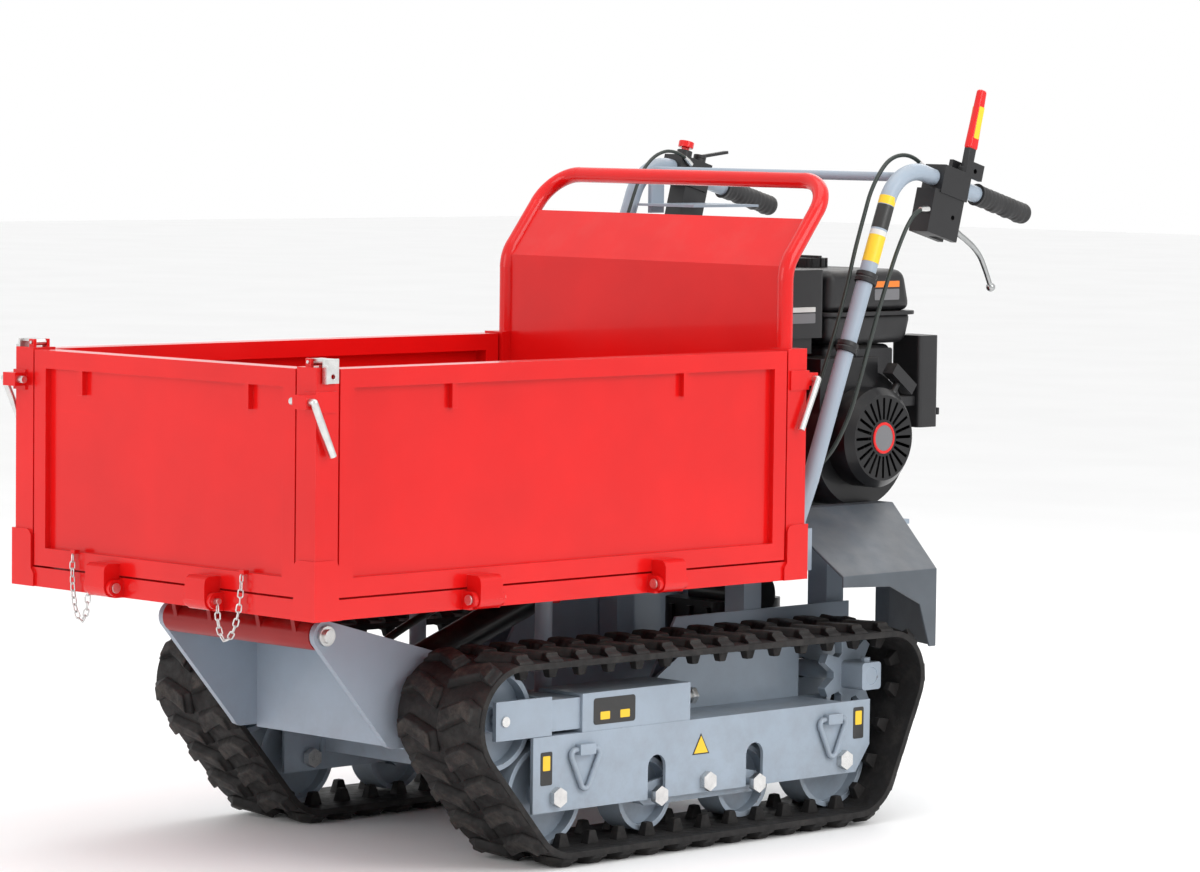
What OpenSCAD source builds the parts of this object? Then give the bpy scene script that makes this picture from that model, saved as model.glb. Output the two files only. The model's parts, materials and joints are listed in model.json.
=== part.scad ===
/* [Cargo box] */
// Outside width of the cargo box
box_w = 687; // [640:1:740]
// Outside length of the cargo box
box_l = 1008; // [940:1:1080]
// Height of the box frame's underside above the ground
box_z = 397; // [390:1:420]
// Height of the corner posts
post_h = 359; // [280:1:420]
// Side of the square corner posts
post_w = 42; // [34:1:50]
// Height of the bottom rails under the panels
rail_h = 29; // [24:1:36]
// Thickness of the tailgate and side panels
panel_t = 36; // [28:1:42]
// Width of the tube that frames each panel
rim_w = 27; // [22:1:34]
// Thickness of the sheet steel
sheet_t = 2.5; // [1.5:0.5:4]
// Running gap round each panel
panel_gap = 3; // [2:0.5:5]
// Height of the gusset plates at the foot of each post
gusset_h = 86; // [60:1:110]
// Height of the guard hoop's fold above the ground
hoop_fold_z = 882; // [860:1:930]
// Height of the guard hoop's top bar above the ground
hoop_top_z = 1014; // [990:1:1060]
// Diameter of the guard hoop's tube
hoop_d = 25; // [20:1:32]
// Distance from the centre plane to the hoop's upright
hoop_x = 314; // [312:1:320]

/* [Panel hinges] */
// Width of each hinge sleeve
sleeve_w = 44; // [34:1:60]
// How far each hinge sleeve stands proud of the box
sleeve_d = 30; // [26:1:36]
// Height of each hinge sleeve
sleeve_h = 50; // [44:1:60]
// Diameter of the hinge pins
hinge_pin_d = 9; // [7:0.5:11]
// Distance of the tailgate's hinge sleeves from the centre plane
tail_sleeve_x = 115; // [90:1:180]
// Distance of the side hinge sleeves from the middle of the box
side_sleeve_y = 190; // [140:1:300]

/* [Latches] */
// Diameter of the slide bolts' rod
bolt_d = 11; // [9:0.5:13]
// Length of the slide bolts' hanging handle
bolt_handle_l = 86; // [60:1:100]
// Travel of each slide bolt
bolt_travel = 28; // [20:1:36]
// Depth of the slide bolts below the top of the posts
bolt_drop = 48; // [44:1:70]
// Thickness of the corner hooks
hook_t = 4; // [3:0.5:5]

/* [Tipping] */
// Distance of the tipping axis behind the box's front
pivot_y = 165; // [140:1:190]
// Depth of the tipping axis below the box frame
pivot_drop = 45; // [40:1:55]
// Outside diameter of the tipping tube
pivot_tube_d = 46; // [40:1:56]
// Diameter of the tipping pin
pivot_pin_d = 20; // [16:1:24]
// Bore of the ram's barrel
ram_bore = 40; // [32:1:45]
// Outside diameter of the ram's barrel
ram_od = 52; // [48:1:58]
// Diameter of the ram's rod
ram_rod_d = 25; // [20:1:30]

/* [Tracks] */
// Width of each rubber track
track_w = 180; // [160:1:190]
// Distance between the tracks' centre lines
track_gauge = 562; // [550:1:580]
// Radius of the road wheels and the idlers
wheel_r = 78; // [74:1:80]
// Width of the wheels
wheel_w = 50; // [40:1:54]
// Distance of the front road wheel behind the box's front
front_wheel_y = 489; // [480:1:500]
// Distance of the rear road wheel behind the box's front
rear_wheel_y = 1118; // [1100:1:1122]
// Distance of the idler behind the box's front
idler_y = 384; // [376:1:392]
// Height of the idler's axle
idler_z = 223; // [216:1:236]
// Distance of the sprocket behind the box's front
sprocket_y = 1190; // [1182:1:1200]
// Height of the sprocket's axle
sprocket_z = 229; // [224:1:240]
// Radius of the belt's inner face on the sprocket
sprocket_r = 66; // [62:1:70]
// Thickness of the belt under its lugs
belt_t = 10; // [8:0.5:12]
// Height of the belt's outer lugs
lug_h = 14; // [10:0.5:18]
// Number of lugs round each track
lug_n = 37; // [33:1:41]
// Height of the guide lugs inside the belt
guide_h = 20; // [12:1:22]
// Radius of the small bogie rollers
roller_r = 57; // [50:1:58]
// Distance between each bogie's two rollers
roller_pitch = 215; // [180:1:230]
// Running gap between the rollers and the belt
roller_gap = 4; // [3:0.5:6]
// Diameter of the wheel axles
axle_d = 16; // [12:1:20]

/* [Roller frame] */
// Front end of each roller frame, behind the box's front
frame_y0 = 441; // [436:1:446]
// Rear end of each roller frame
frame_y1 = 1180; // [1170:1:1186]
// Height of the roller frame's lower edge
frame_z0 = 80; // [74:1:84]
// Height of the roller frame's top
frame_z1 = 194; // [190:1:200]
// Width of each roller frame
frame_w = 100; // [92:1:106]
// Plate thickness of the roller frames
frame_t = 6; // [5:0.5:8]
// Height of the track tensioner's sleeve
tension_h = 58; // [50:1:58]
// Travel of the track tensioner
tension_travel = 5; // [2:0.5:5]
// Width of the lifting rings
ring_w = 76; // [60:1:84]
// Height of the lifting rings
ring_h = 66; // [50:1:72]
// Wire diameter of the lifting rings
ring_d = 8; // [6:0.5:10]

/* [Handlebar] */
// Distance from the centre plane to each handlebar tube
handle_x = 286; // [270:1:300]
// Diameter of the handlebar tube
handle_d = 27; // [22:1:30]
// Bend radius at the top of the handlebar
handle_bend = 75; // [60:1:90]
// Diameter of the crossbar
crossbar_d = 15; // [12:1:20]
// Length of each grip
grip_l = 128; // [110:1:140]
// Diameter of each grip
grip_d = 36; // [32:1:40]

/* [Engine] */
// Height of the engine's base above the ground
engine_z = 455; // [450:1:465]
// Distance of the crankshaft behind the box's front
crank_y = 1310; // [1300:1:1320]
// Height of the crankshaft above the engine's base
crank_h = 143; // [136:1:148]
// Radius of the recoil starter's cover
recoil_r = 81; // [74:1:88]
// Radius of the fan housing
fan_r = 112; // [104:1:114]
// Height of the fuel tank
tank_h = 128; // [100:1:140]
// Radius of the fuel cap
cap_r = 30; // [24:1:34]

/* [Hidden] */

eps = 0.01;
// Clearance between pieces that stand on different joints
fit = 0.4;
// Radial clearance of a pin in its bore
pin_fit = 0.06;

// Colours
red = [0.86, 0.09, 0.06];
dark_red = [0.55, 0.10, 0.08];
grey = [0.60, 0.65, 0.72];
black = [0.09, 0.09, 0.10];
rubber = [0.13, 0.12, 0.12];
zinc = [0.78, 0.79, 0.80];
steel = [0.55, 0.56, 0.58];

// Rear end of the grips and the front of the hinge sleeves fix the middle
grip_end_y = 1592;
grip_end_z = 957;
handle_top = [1275, 1043];
handle_knee = [1082, 545];
handle_foot = [1034, 440];
grip_dir = [grip_end_y - handle_top[0], grip_end_z - handle_top[1]] /
  norm([grip_end_y - handle_top[0], grip_end_z - handle_top[1]]);
rear_y = grip_end_y - grip_dir[1] * grip_d / 2;
mid_y = (rear_y - sleeve_d) / 2;

wheel_z = lug_h + belt_t + wheel_r;
roller_z = lug_h + belt_t + roller_gap + roller_r;
track_x = track_gauge / 2;
pivot_z = box_z - pivot_drop;
floor_z = box_z + rail_h;
top_z = box_z + post_h;
panel_z0 = floor_z + panel_gap;
panel_z1 = top_z - 3;
hinge_y = sleeve_d / 2;
hinge_z = box_z + hinge_y;
crank_z = engine_z + crank_h;
rocker_y = (front_wheel_y + rear_wheel_y) / 2 + 5;
rocker_z = roller_z + 12;
sleeve_bot = frame_z1;
idler_fork_z = sleeve_bot + tension_h / 2;

// Puts stations measured from the box's front into the part's own frame
module place() translate([0, -mid_y, 0]) children();
module left() children();
module right() mirror([1, 0, 0]) children();
module both() { children(); mirror([1, 0, 0]) children(); }

// A box given by its lowest and highest corners
module block(a, b) translate(a) cube(b - a);
// Extrudes an outline drawn in Y and Z along X, from x0 to x1
module slab_x(x0, x1) multmatrix([[0, 0, 1, x0], [1, 0, 0, 0], [0, 1, 0, 0], [0, 0, 0, 1]])
  linear_extrude(x1 - x0) children();
// Extrudes an outline drawn in X and Z along Y, from y0 to y1
module slab_y(y0, y1) multmatrix([[1, 0, 0, 0], [0, 0, -1, y1], [0, 1, 0, 0], [0, 0, 0, 1]])
  linear_extrude(y1 - y0) children();
// Round bars along the axes
module rod_x(x0, x1, y, z, d, fn = 32) translate([x0, y, z]) rotate([0, 90, 0])
  cylinder(d = d, h = x1 - x0, $fn = fn);
module rod_y(y0, y1, x, z, d, fn = 32) translate([x, y0, z]) rotate([-90, 0, 0])
  cylinder(d = d, h = y1 - y0, $fn = fn);
module rod_z(z0, z1, x, y, d, fn = 32) translate([x, y, z0]) cylinder(d = d, h = z1 - z0, $fn = fn);
// Outline of a rectangle with round corners, centred
function round_rect(w, h, r, n = 4) = [
  for (c = [[1, 1, 0], [-1, 1, 90], [-1, -1, 180], [1, -1, 270]], k = [0 : n])
    [c[0] * (w / 2 - r) + r * cos(c[2] + 90 * k / n), c[1] * (h / 2 - r) + r * sin(c[2] + 90 * k / n)]
];
// A box with its upright edges rounded
module soft_block(a, b, r) translate([(a[0] + b[0]) / 2, (a[1] + b[1]) / 2, a[2]])
  linear_extrude(b[2] - a[2]) polygon(round_rect(b[0] - a[0], b[1] - a[1], r));

function unit(v) = v / norm(v);
// The direction turned square to u, inside the bend from u to v
function inward(u, v) = unit(v - (u * v) * u);
// One straight stretch of round bar between two points
module bar(a, b, d) {
  w = unit(b - a);
  s = abs(w[2]) > 0.9 ? unit(cross([0, 1, 0], w)) : unit(cross([0, 0, 1], w));
  t = cross(w, s);
  multmatrix([[s[0], t[0], w[0], a[0]], [s[1], t[1], w[1], a[1]], [s[2], t[2], w[2], a[2]], [0, 0, 0, 1]])
    cylinder(d = d, h = norm(b - a), $fn = 32);
}
// Length that a bend of radius r takes from each leg at point i of a path
function trim(p, i, r, loop) = !loop && (i <= 0 || i >= len(p) - 1) ? 0 :
  let (n = len(p), a = p[(i + n - 1) % n], b = p[i % n], c = p[(i + 1) % n])
  r * tan(acos(unit(b - a) * unit(c - b)) / 2) - 0.5;
// Round bar bent through the points of a path, with one bend radius; the bends are a hair thicker
module bent_bar(p, d, r, loop = false) {
  n = len(p);
  for (i = [0 : loop ? n - 1 : n - 2]) {
    a = p[i];
    b = p[(i + 1) % n];
    u = unit(b - a);
    bar(a + u * trim(p, i, r, loop), b - u * trim(p, (i + 1) % n == 0 ? n : i + 1, r, loop), d);
  }
  for (i = [loop ? 0 : 1 : loop ? n - 1 : n - 2]) {
    a = p[(i + n - 1) % n];
    b = p[i];
    e = p[(i + 1) % n];
    u = unit(b - a);
    v = unit(e - b);
    w = inward(u, v);
    q = cross(-w, u);
    c = b - u * (trim(p, i, r, loop) + 0.5) + w * r;
    multmatrix([[-w[0], u[0], q[0], c[0]], [-w[1], u[1], q[1], c[1]], [-w[2], u[2], q[2], c[2]], [0, 0, 0, 1]])
      rotate_extrude(angle = acos(u * v), $fn = 96) translate([r, 0]) circle(d = d + 0.4, $fn = 32);
  }
}
// Hexagon bolt head or nut on an X axis, its near face at x
module hex_x(x, y, z, across, h) translate([x, y, z]) rotate([0, 90, 0])
  cylinder(d = across / cos(30), h = h, $fn = 6);
// Tube swept along a route by rings of n corners
function ring_at(p, i, r, n) =
  let (w = unit(p[min(i + 1, len(p) - 1)] - p[max(i - 1, 0)]),
       s = abs(w[0]) > 0.9 ? unit(cross([0, 1, 0], w)) : unit(cross([1, 0, 0], w)),
       t = cross(w, s))
  [for (k = [0 : n - 1]) p[i] + r * (cos(360 * k / n) * s + sin(360 * k / n) * t)];
module cord(p, d, n = 8) {
  m = len(p);
  pts = [for (i = [0 : m - 1]) each ring_at(p, i, d / 2, n)];
  sides = [for (i = [0 : m - 2], k = [0 : n - 1]) each [
    [i * n + k, i * n + (k + 1) % n, (i + 1) * n + (k + 1) % n],
    [i * n + k, (i + 1) * n + (k + 1) % n, (i + 1) * n + k]]];
  polyhedron(pts, concat([[for (k = [n - 1 : -1 : 0]) k]], sides, [[for (k = [0 : n - 1]) (m - 1) * n + k]]));
}

// --- Track path: the belt's inner face runs round these circles, [y, z, radius]
path = [
  [front_wheel_y, wheel_z, wheel_r], [rear_wheel_y, wheel_z, wheel_r],
  [sprocket_y, sprocket_z, sprocket_r], [idler_y, idler_z, wheel_r],
];
function leg(i) = let (p = path[i % 4], q = path[(i + 1) % 4]) [q[0] - p[0], q[1] - p[1]];
function leg_l(i) = let (d = norm(leg(i)), e = path[i % 4][2] - path[(i + 1) % 4][2]) sqrt(d * d - e * e);
function leg_a(i) = atan2(leg(i)[1], leg(i)[0]) -
  acos((path[i % 4][2] - path[(i + 1) % 4][2]) / norm(leg(i)));
function turn(i) = (leg_a(i) - leg_a(i + 3) + 720) % 360;
// Working length, measured at the belt's pitch line
function piece_l(i, o) = (path[i % 4][2] + o) * turn(i) * PI / 180 + leg_l(i);
pitch_o = belt_t / 2;
belt_l = piece_l(0, pitch_o) + piece_l(1, pitch_o) + piece_l(2, pitch_o) + piece_l(3, pitch_o);
// Point at distance s round the belt, o outside its inner face
function belt_at(s, o, i = 0) = s >= belt_l ? belt_at(s - belt_l, o, 0) :
  let (c = path[i % 4], arc = (c[2] + pitch_o) * turn(i) * PI / 180, all = piece_l(i, pitch_o))
  s > all ? belt_at(s - all, o, i + 1) :
  s < arc ? let (a = leg_a(i + 3) + s / (c[2] + pitch_o) * 180 / PI)
    [c[0] + (c[2] + o) * cos(a), c[1] + (c[2] + o) * sin(a)] :
  let (a = leg_a(i), t = s - arc)
    [c[0] + (c[2] + o) * cos(a) - t * sin(a), c[1] + (c[2] + o) * sin(a) + t * cos(a)];
link_l = belt_l / lug_n;
// Closed outline of the belt at height o
function belt_line(o) = [for (k = [0 : 5 * lug_n - 1]) belt_at(k / 5 * link_l, o)];
// Outline of one bar across the belt: [share of the link, height] pairs, started at link k
function across(steps, k) = [for (q = steps) belt_at((k + q[0]) * link_l, q[1])];
sunk = 2;
lug_line = [[0.34, belt_t - sunk], [0.41, belt_t + lug_h], [0.62, belt_t + lug_h], [0.83, belt_t + lug_h],
  [0.90, belt_t - sunk]];
guide_line = [[0.33, sunk], [0.42, -guide_h], [0.66, -guide_h], [0.75, sunk]];
guide_w = 17;
guide_in = wheel_w / 2 + 5;
lug_edge = 2;
module track_belt() color(rubber) place() translate([track_x, 0, 0]) {
  slab_x(-track_w / 2, track_w / 2) difference() {
    polygon(belt_line(belt_t));
    polygon(belt_line(0));
  }
  // Outer lugs, each half of the width half a pitch after the other
  slab_x(-track_w / 2 + lug_edge, -6) for (k = [0 : lug_n - 1]) polygon(across(lug_line, k));
  slab_x(6, track_w / 2 - lug_edge) for (k = [0 : lug_n - 1]) polygon(across(lug_line, k + 0.5));
  // Two rows of guide lugs inside
  slab_x(-guide_in - guide_w, -guide_in) for (k = [0 : lug_n - 1]) polygon(across(guide_line, k));
  slab_x(guide_in, guide_in + guide_w) for (k = [0 : lug_n - 1]) polygon(across(guide_line, k));
}

// --- Wheels: a rim, a dished web and a hub with the axle's bore
axle_fit = 0.05;
module wheel(r, w, y, z, bore) color(grey) place() translate([track_x - w / 2, y, z]) rotate([0, 90, 0])
  difference() {
    cylinder(r = r - 0.8, h = w, $fn = 96);
    translate([0, 0, w * 0.62]) difference() {
      cylinder(r = r - 9, h = w, $fn = 96);
      cylinder(d = bore + 22, h = w, $fn = 48);
    }
    translate([0, 0, -eps]) difference() {
      cylinder(r = r - 9, h = w * 0.38, $fn = 96);
      cylinder(d = bore + 22, h = w, $fn = 48);
    }
    translate([0, 0, -eps]) cylinder(d = bore + 2 * axle_fit, h = w + 1, $fn = 48);
  }
module road_wheel(y) wheel(wheel_r, wheel_w, y, wheel_z, axle_d);
module bogie_roller(y) wheel(roller_r + 0.8, wheel_w, y, roller_z, axle_d - 4);
module idler() wheel(wheel_r, wheel_w, idler_y, idler_z, axle_d);

// --- Sprocket: a seven-pointed star, its split hub and the drive shaft
star_n = 7;
star_w = 16;
hub_w = 44;
shaft_d = 28;
shaft_in = 20;
star_tip = sprocket_r - 3;
star_root = star_tip - 24;
function star_points() = [for (k = [0 : star_n - 1], q = [[-0.36, 0], [-0.14, 1], [0.14, 1], [0.36, 0]])
  let (a = 360 / star_n * (k + q[0]), r = q[1] > 0 ? star_tip : star_root) [r * cos(a), r * sin(a)]];
module sprocket() color(grey) place() translate([0, sprocket_y, sprocket_z]) {
  difference() {
    union() {
      slab_x(track_x - star_w - 2, track_x - 2) polygon(star_points());
      slab_x(track_x - 2, track_x + 44) polygon(round_rect(hub_w, hub_w, 6));
    }
    translate([track_x - 40, 0, 0]) rotate([0, 90, 0]) cylinder(d = shaft_d, h = 100, $fn = 48);
    for (k = [0 : star_n - 1]) rotate([360 / star_n * k + 10, 0, 0])
      translate([track_x - star_w - 3, 34, 0]) rotate([0, 90, 0]) cylinder(d = 12, h = star_w, $fn = 24);
  }
  rod_x(shaft_in, track_x + 42, 0, 0, shaft_d, 48);
  translate([track_x + 30, 0, hub_w / 2]) cylinder(d = 16, h = 7, $fn = 6);
}

// --- Roller frame: an upside-down channel with slots, the tensioner's sleeve and the ring clips
frame_x0 = track_x - frame_w / 2;
frame_x1 = track_x + frame_w / 2;
slot_w = 38;
slot_top = roller_z + 62;
cross_ys = [520, 1030];
ring_ys = [frame_y0 + 103, frame_y1 - 92];
ring_z = frame_z1 - 24;
ring_x = frame_x1 + ring_d / 2 + 1;
sleeve_y0 = 543;
sleeve_y1 = 773;
sleeve_wall = 5;
sleeve_x0 = frame_x0 + 4;
sleeve_x1 = frame_x1 - 1;
module slot_outline(y) {
  translate([y - slot_w / 2, frame_z0 - 20]) square([slot_w, slot_top - slot_w / 2 - frame_z0 + 20]);
  translate([y, slot_top - slot_w / 2]) circle(d = slot_w, $fn = 48);
}
module frame_side(x0, x1) slab_x(x0, x1) difference() {
  polygon([[frame_y0, frame_z0], [frame_y1 - 32, frame_z0], [frame_y1, frame_z0 + 42],
    [frame_y1, frame_z1], [frame_y0, frame_z1]]);
  for (s = [-1, 1]) slot_outline(rocker_y + s * roller_pitch / 2);
}
module ring_clip(y) difference() {
  block([frame_x1, y - 16, ring_z - ring_d / 2 - 4], [ring_x + ring_d / 2 + 3, y + 16, ring_z + ring_d / 2 + 4]);
  rod_x(0, 1, 0, 0, 1);
  rod_y(y - 17, y + 17, ring_x, ring_z, ring_d + 2 * fit, 48);
}
module roller_frame() color(grey) place() difference() {
  union() {
    frame_side(frame_x1 - frame_t, frame_x1);
    frame_side(frame_x0, frame_x0 + frame_t);
    block([frame_x0 + frame_t, idler_y + wheel_r + tension_travel + 4, frame_z1 - frame_t],
      [frame_x1 - frame_t, sprocket_y - sprocket_r - 4, frame_z1]);
    // Tensioner sleeve, open at the front, closed by the bolt's plate at the rear
    difference() {
      block([sleeve_x0, sleeve_y0, sleeve_bot], [sleeve_x1, sleeve_y1, sleeve_bot + tension_h]);
      block([sleeve_x0 + sleeve_wall, sleeve_y0 - 1, sleeve_bot + sleeve_wall],
        [sleeve_x1 - sleeve_wall, sleeve_y1 - 8, sleeve_bot + tension_h - sleeve_wall]);
    }
    // Upright side plate that ties the frame to the gearbox
    slab_x(frame_x0 - 6, frame_x0) polygon([[sleeve_y1 + 4, frame_z0 + 40], [frame_y1 - 60, frame_z0 + 40],
      [frame_y1 - 60, frame_z1 + 92], [sleeve_y1 + 90, frame_z1 + 92], [sleeve_y1 + 4, frame_z1 + 40]]);
    block([frame_x0 - 6, cross_ys[0] - 8, frame_z0 + 22], [frame_x0, cross_ys[0] + 68, frame_z1]);
    for (y = ring_ys) ring_clip(y);
  }
  for (y = [front_wheel_y, rear_wheel_y]) rod_x(frame_x0 - 10, frame_x1 + 1, y, wheel_z, axle_d, 48);
  rod_x(frame_x0 - 10, frame_x1 + 1, rocker_y, rocker_z, axle_d + 4, 48);
  rod_y(sleeve_y1 - 20, sleeve_y1 + 2, track_x, idler_fork_z, 16, 32);
}

// --- Bolts that stay with the frame: wheel axles, rocker pivots and the tensioner's screws
head_across = 27;
module axle_bolt(y, z, d) {
  rod_x(frame_x0 - 6, frame_x1 + 2, y, z, d, 48);
  hex_x(frame_x1, y, z, head_across, 10);
  hex_x(frame_x0 - 6 - 12, y, z, head_across, 12);
}
module axle_bolts() color(zinc) place() both() {
  for (y = [front_wheel_y, rear_wheel_y]) axle_bolt(y, wheel_z, axle_d);
  axle_bolt(rocker_y, rocker_z, axle_d + 4);
  // Tensioner screw with its lock nut, reaching back from the sleeve
  rod_y(sleeve_y1 - 44, sleeve_y1 + 46, track_x, idler_fork_z, 16, 32);
  translate([track_x, sleeve_y1 + 13, idler_fork_z]) rotate([90, 0, 0]) cylinder(d = 27.7, h = 13, $fn = 6);
  translate([track_x, sleeve_y1 + 56, idler_fork_z]) rotate([90, 0, 0]) cylinder(d = 27.7, h = 10, $fn = 6);
}

// --- Bogie rocker with its two roller bolts
rocker_t = 6;
rocker_x = wheel_w / 2 + 6;
module rocker_outline() {
  polygon([[rocker_y - roller_pitch / 2 - 22, roller_z - 8], [rocker_y - roller_pitch / 2 - 10, roller_z - 17],
    [rocker_y + roller_pitch / 2 + 10, roller_z - 17], [rocker_y + roller_pitch / 2 + 22, roller_z - 8],
    [rocker_y + roller_pitch / 2 + 22, roller_z + 14], [rocker_y + 46, roller_z + 30],
    [rocker_y - 46, roller_z + 30], [rocker_y - roller_pitch / 2 - 22, roller_z + 14]]);
}
module bogie_rocker() {
  color(grey) place() for (s = [-1, 1]) difference() {
    slab_x(track_x + s * rocker_x - rocker_t / 2, track_x + s * rocker_x + rocker_t / 2) rocker_outline();
    rod_x(frame_x0, frame_x1, rocker_y, rocker_z, axle_d + 4 + 2 * axle_fit, 48);
    for (q = [-1, 1]) rod_x(frame_x0, frame_x1, rocker_y + q * roller_pitch / 2, roller_z, axle_d - 4, 48);
  }
  color(zinc) place() for (q = [-1, 1]) {
    rod_x(track_x - rocker_x - rocker_t / 2 - 4, frame_x1 + 4, rocker_y + q * roller_pitch / 2, roller_z, axle_d - 4, 48);
    hex_x(frame_x1 + 2, rocker_y + q * roller_pitch / 2, roller_z, head_across, 10);
  }
}

// --- Idler fork: two cheeks, the square tube that slides in the sleeve, and the idler's axle
fork_y0 = idler_y - 18;
fork_y1 = idler_y + wheel_r + 8;
tube_gap = 0.3;
tube_x0 = sleeve_x0 + sleeve_wall + tube_gap;
tube_x1 = sleeve_x1 - sleeve_wall - tube_gap;
tube_z0 = sleeve_bot + sleeve_wall + tube_gap;
tube_z1 = sleeve_bot + tension_h - sleeve_wall - tube_gap;
module idler_fork() {
  color(grey) place() difference() {
    union() {
      for (x = [sleeve_x1 - 8, sleeve_x0])
        block([x, fork_y0, frame_z1 + fit], [x + 8, fork_y1 + 10, idler_z + 30]);
      block([sleeve_x0 + 8, fork_y1, frame_z1 + fit], [sleeve_x1 - 8, fork_y1 + 10, idler_z + 28]);
      difference() {
        block([tube_x0, fork_y1 + 10, tube_z0], [tube_x1, 700, tube_z1]);
        block([tube_x0 + 5, fork_y1 + 9, tube_z0 + 5], [tube_x1 - 5, 694, tube_z1 - 5]);
      }
    }
    rod_x(frame_x0 - 5, frame_x1 + 5, idler_y, idler_z, axle_d, 48);
  }
  color(zinc) place() {
    rod_x(sleeve_x0 - 2, sleeve_x1 + 3, idler_y, idler_z, axle_d, 48);
  }
}

// --- Lifting rings: rounded triangles of wire that hang in their clips
module lifting_rings() color(grey) place() for (y = ring_ys) {
  hw = ring_w / 2 - ring_d / 2;
  bent_bar([[ring_x, y + hw, ring_z], [ring_x, y, ring_z - ring_h - 4], [ring_x, y - hw, ring_z]],
    ring_d, 8, true);
}

// --- Chassis
beam_x0 = 118;
beam_x1 = 168;
beam_z0 = 170;
beam_z1 = 230;
bracket_t = 10;
deck_z = engine_z - 8;
deck_y0 = 1056;
deck_y1 = 1450;
ram_foot = [330, 226];
module bracket_outline() {
  // Triangular cheek: round nose about the tipping pin, corner at the bottom, long tail over the beam
  n = 8;
  polygon(concat(
    [for (k = [0 : n]) let (a = 75 + 135 * k / n) [pivot_y + 22 * cos(a), pivot_z + 22 * sin(a)]],
    [[pivot_y + 118, 186], [pivot_y + 124, 178], [pivot_y + 133, 174], [pivot_y + 260, 174],
     [pivot_y + 330, 236], [pivot_y + 330, pivot_z - 70]]));
}
module chassis_frame() color(grey) place() difference() {
  union() {
    both() {
      // Side beams
      block([beam_x0, 330, beam_z0], [beam_x1, 1300, beam_z1]);
      // Cheeks that carry the tipping pin
      slab_x(beam_x1, beam_x1 + bracket_t) bracket_outline();
      // Rest posts under the box
      rod_z(beam_z1, box_z - 6, beam_x0 + 25, 640, 27, 32);
      rod_z(box_z - 10, box_z + 0.7, beam_x0 + 25, 640, 38, 32);
      // Engine posts
      for (y = [1062, 1256]) block([beam_x0 + 4, y, beam_z1], [beam_x1 - 4, y + 40, deck_z]);
      // Side plates over the beams
      slab_x(beam_x1, beam_x1 + 5) polygon([[840, beam_z0], [1300, beam_z0], [1300, 330], [900, 330], [840, beam_z1]]);
      // Sockets for the handlebar's feet
      block([handle_x - 20, 1014, 404], [handle_x + 20, 1066, 470]);
    }
    // Cross members that carry the roller frames
    for (y = cross_ys) block([-frame_x0 + 6, y, 110], [frame_x0 - 6, y + 60, beam_z0]);
    // Cross beam for the handlebar, and its ties to the engine deck
    block([-handle_x - 20, 1014, 404], [handle_x + 20, 1050, 440]);
    both() block([beam_x0 + 4, 1050, 404], [beam_x1 - 4, 1062, 440]);
    // Nose: sloping plate and upright plate between the cheeks
    block([-beam_x1, 330, beam_z0], [beam_x1, 338, 318]);
    slab_x(-beam_x1, beam_x1) polygon([[212, 322], [338, 312], [338, 318], [212, 328]]);
    // Deck under the engine
    block([-beam_x1, deck_y0, deck_z], [beam_x1, deck_y1, engine_z]);
    // Ears for the foot of the ram
    for (x = [-38, 28]) slab_x(x, x + 10) polygon([[338, 178], [ram_foot[0] + 60, 200], [ram_foot[0] + 70, 216],
      [ram_foot[0] + 68, 240], [338, 270]]);
    // Brackets under the rear cover
    both() for (y = [1100, 1286]) {
      block([beam_x1 - 8, y, deck_z], [216, y + 30, engine_z]);
      block([208, y, engine_z - 1], [216, y + 30, 488]);
    }
  }
  rod_x(-250, 250, pivot_y, pivot_z, pivot_pin_d + 2 * pin_fit, 48);
  rod_x(-60, 60, ram_foot[0] + 52, ram_foot[1], 16 + 2 * pin_fit, 48);
  rod_x(-250, 250, sprocket_y, sprocket_z, shaft_d + 6, 48);
  both() bar(handle_pt(handle_foot), handle_pt(handle_foot + 2 * (handle_knee - handle_foot)), handle_d + 0.1);
}

// --- Gearbox between the tracks, with its side flanges
module gearbox() color(black) place() difference() {
  union() {
    soft_block([-70, sprocket_y - 82, 150], [70, sprocket_y + 70, 330], 22);
    rod_x(-94, 94, sprocket_y, sprocket_z, 96, 48);
    rod_x(-30, 96, sprocket_y - 20, 340, 74, 48);
    for (k = [-40, 0, 40]) block([k - 4, sprocket_y - 88, 160], [k + 4, sprocket_y - 80, 320]);
    for (y = [-70, 40]) block([-150, sprocket_y + y, beam_z1], [150, sprocket_y + y + 20, beam_z1 + 12]);
  }
  rod_x(-130, 130, sprocket_y, sprocket_z, shaft_d + 2 * axle_fit, 48);
}

// --- Rear cover: a roof over the rear of both tracks, with walls behind it, open round the engine
cover_y0 = 1070;
cover_y1 = 1345;
cover_x = track_x + track_w / 2;
module cover_solid(t) intersection() {
  slab_y(cover_y0 - t, cover_y1) polygon([[-cover_x + t, 260 - t], [-cover_x + t, 398 - t * 0.64],
    [-225 + t * 0.3, 492 - t], [225 - t * 0.3, 492 - t], [cover_x - t, 398 - t * 0.64], [cover_x - t, 260 - t]]);
  translate([0, 0, 200]) linear_extrude(400) polygon([[-cover_x + t, cover_y0 - t],
    [-cover_x + t, 1290 - t * 0.7], [-225 + t * 0.2, cover_y1 - t], [225 - t * 0.2, cover_y1 - t],
    [cover_x - t, 1290 - t * 0.7], [cover_x - t, cover_y0 - t]]);
}
module rear_cover() color(grey) place() difference() {
  cover_solid(0);
  cover_solid(4);
  block([-193, 1040, 200], [193, 1400, 560]);
  slab_x(-400, 400) polygon([[1000, 200], [1000, 384], [1180, 376], [1250, 344], [1275, 274], [1400, 274],
    [1400, 200]]);
}

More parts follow.
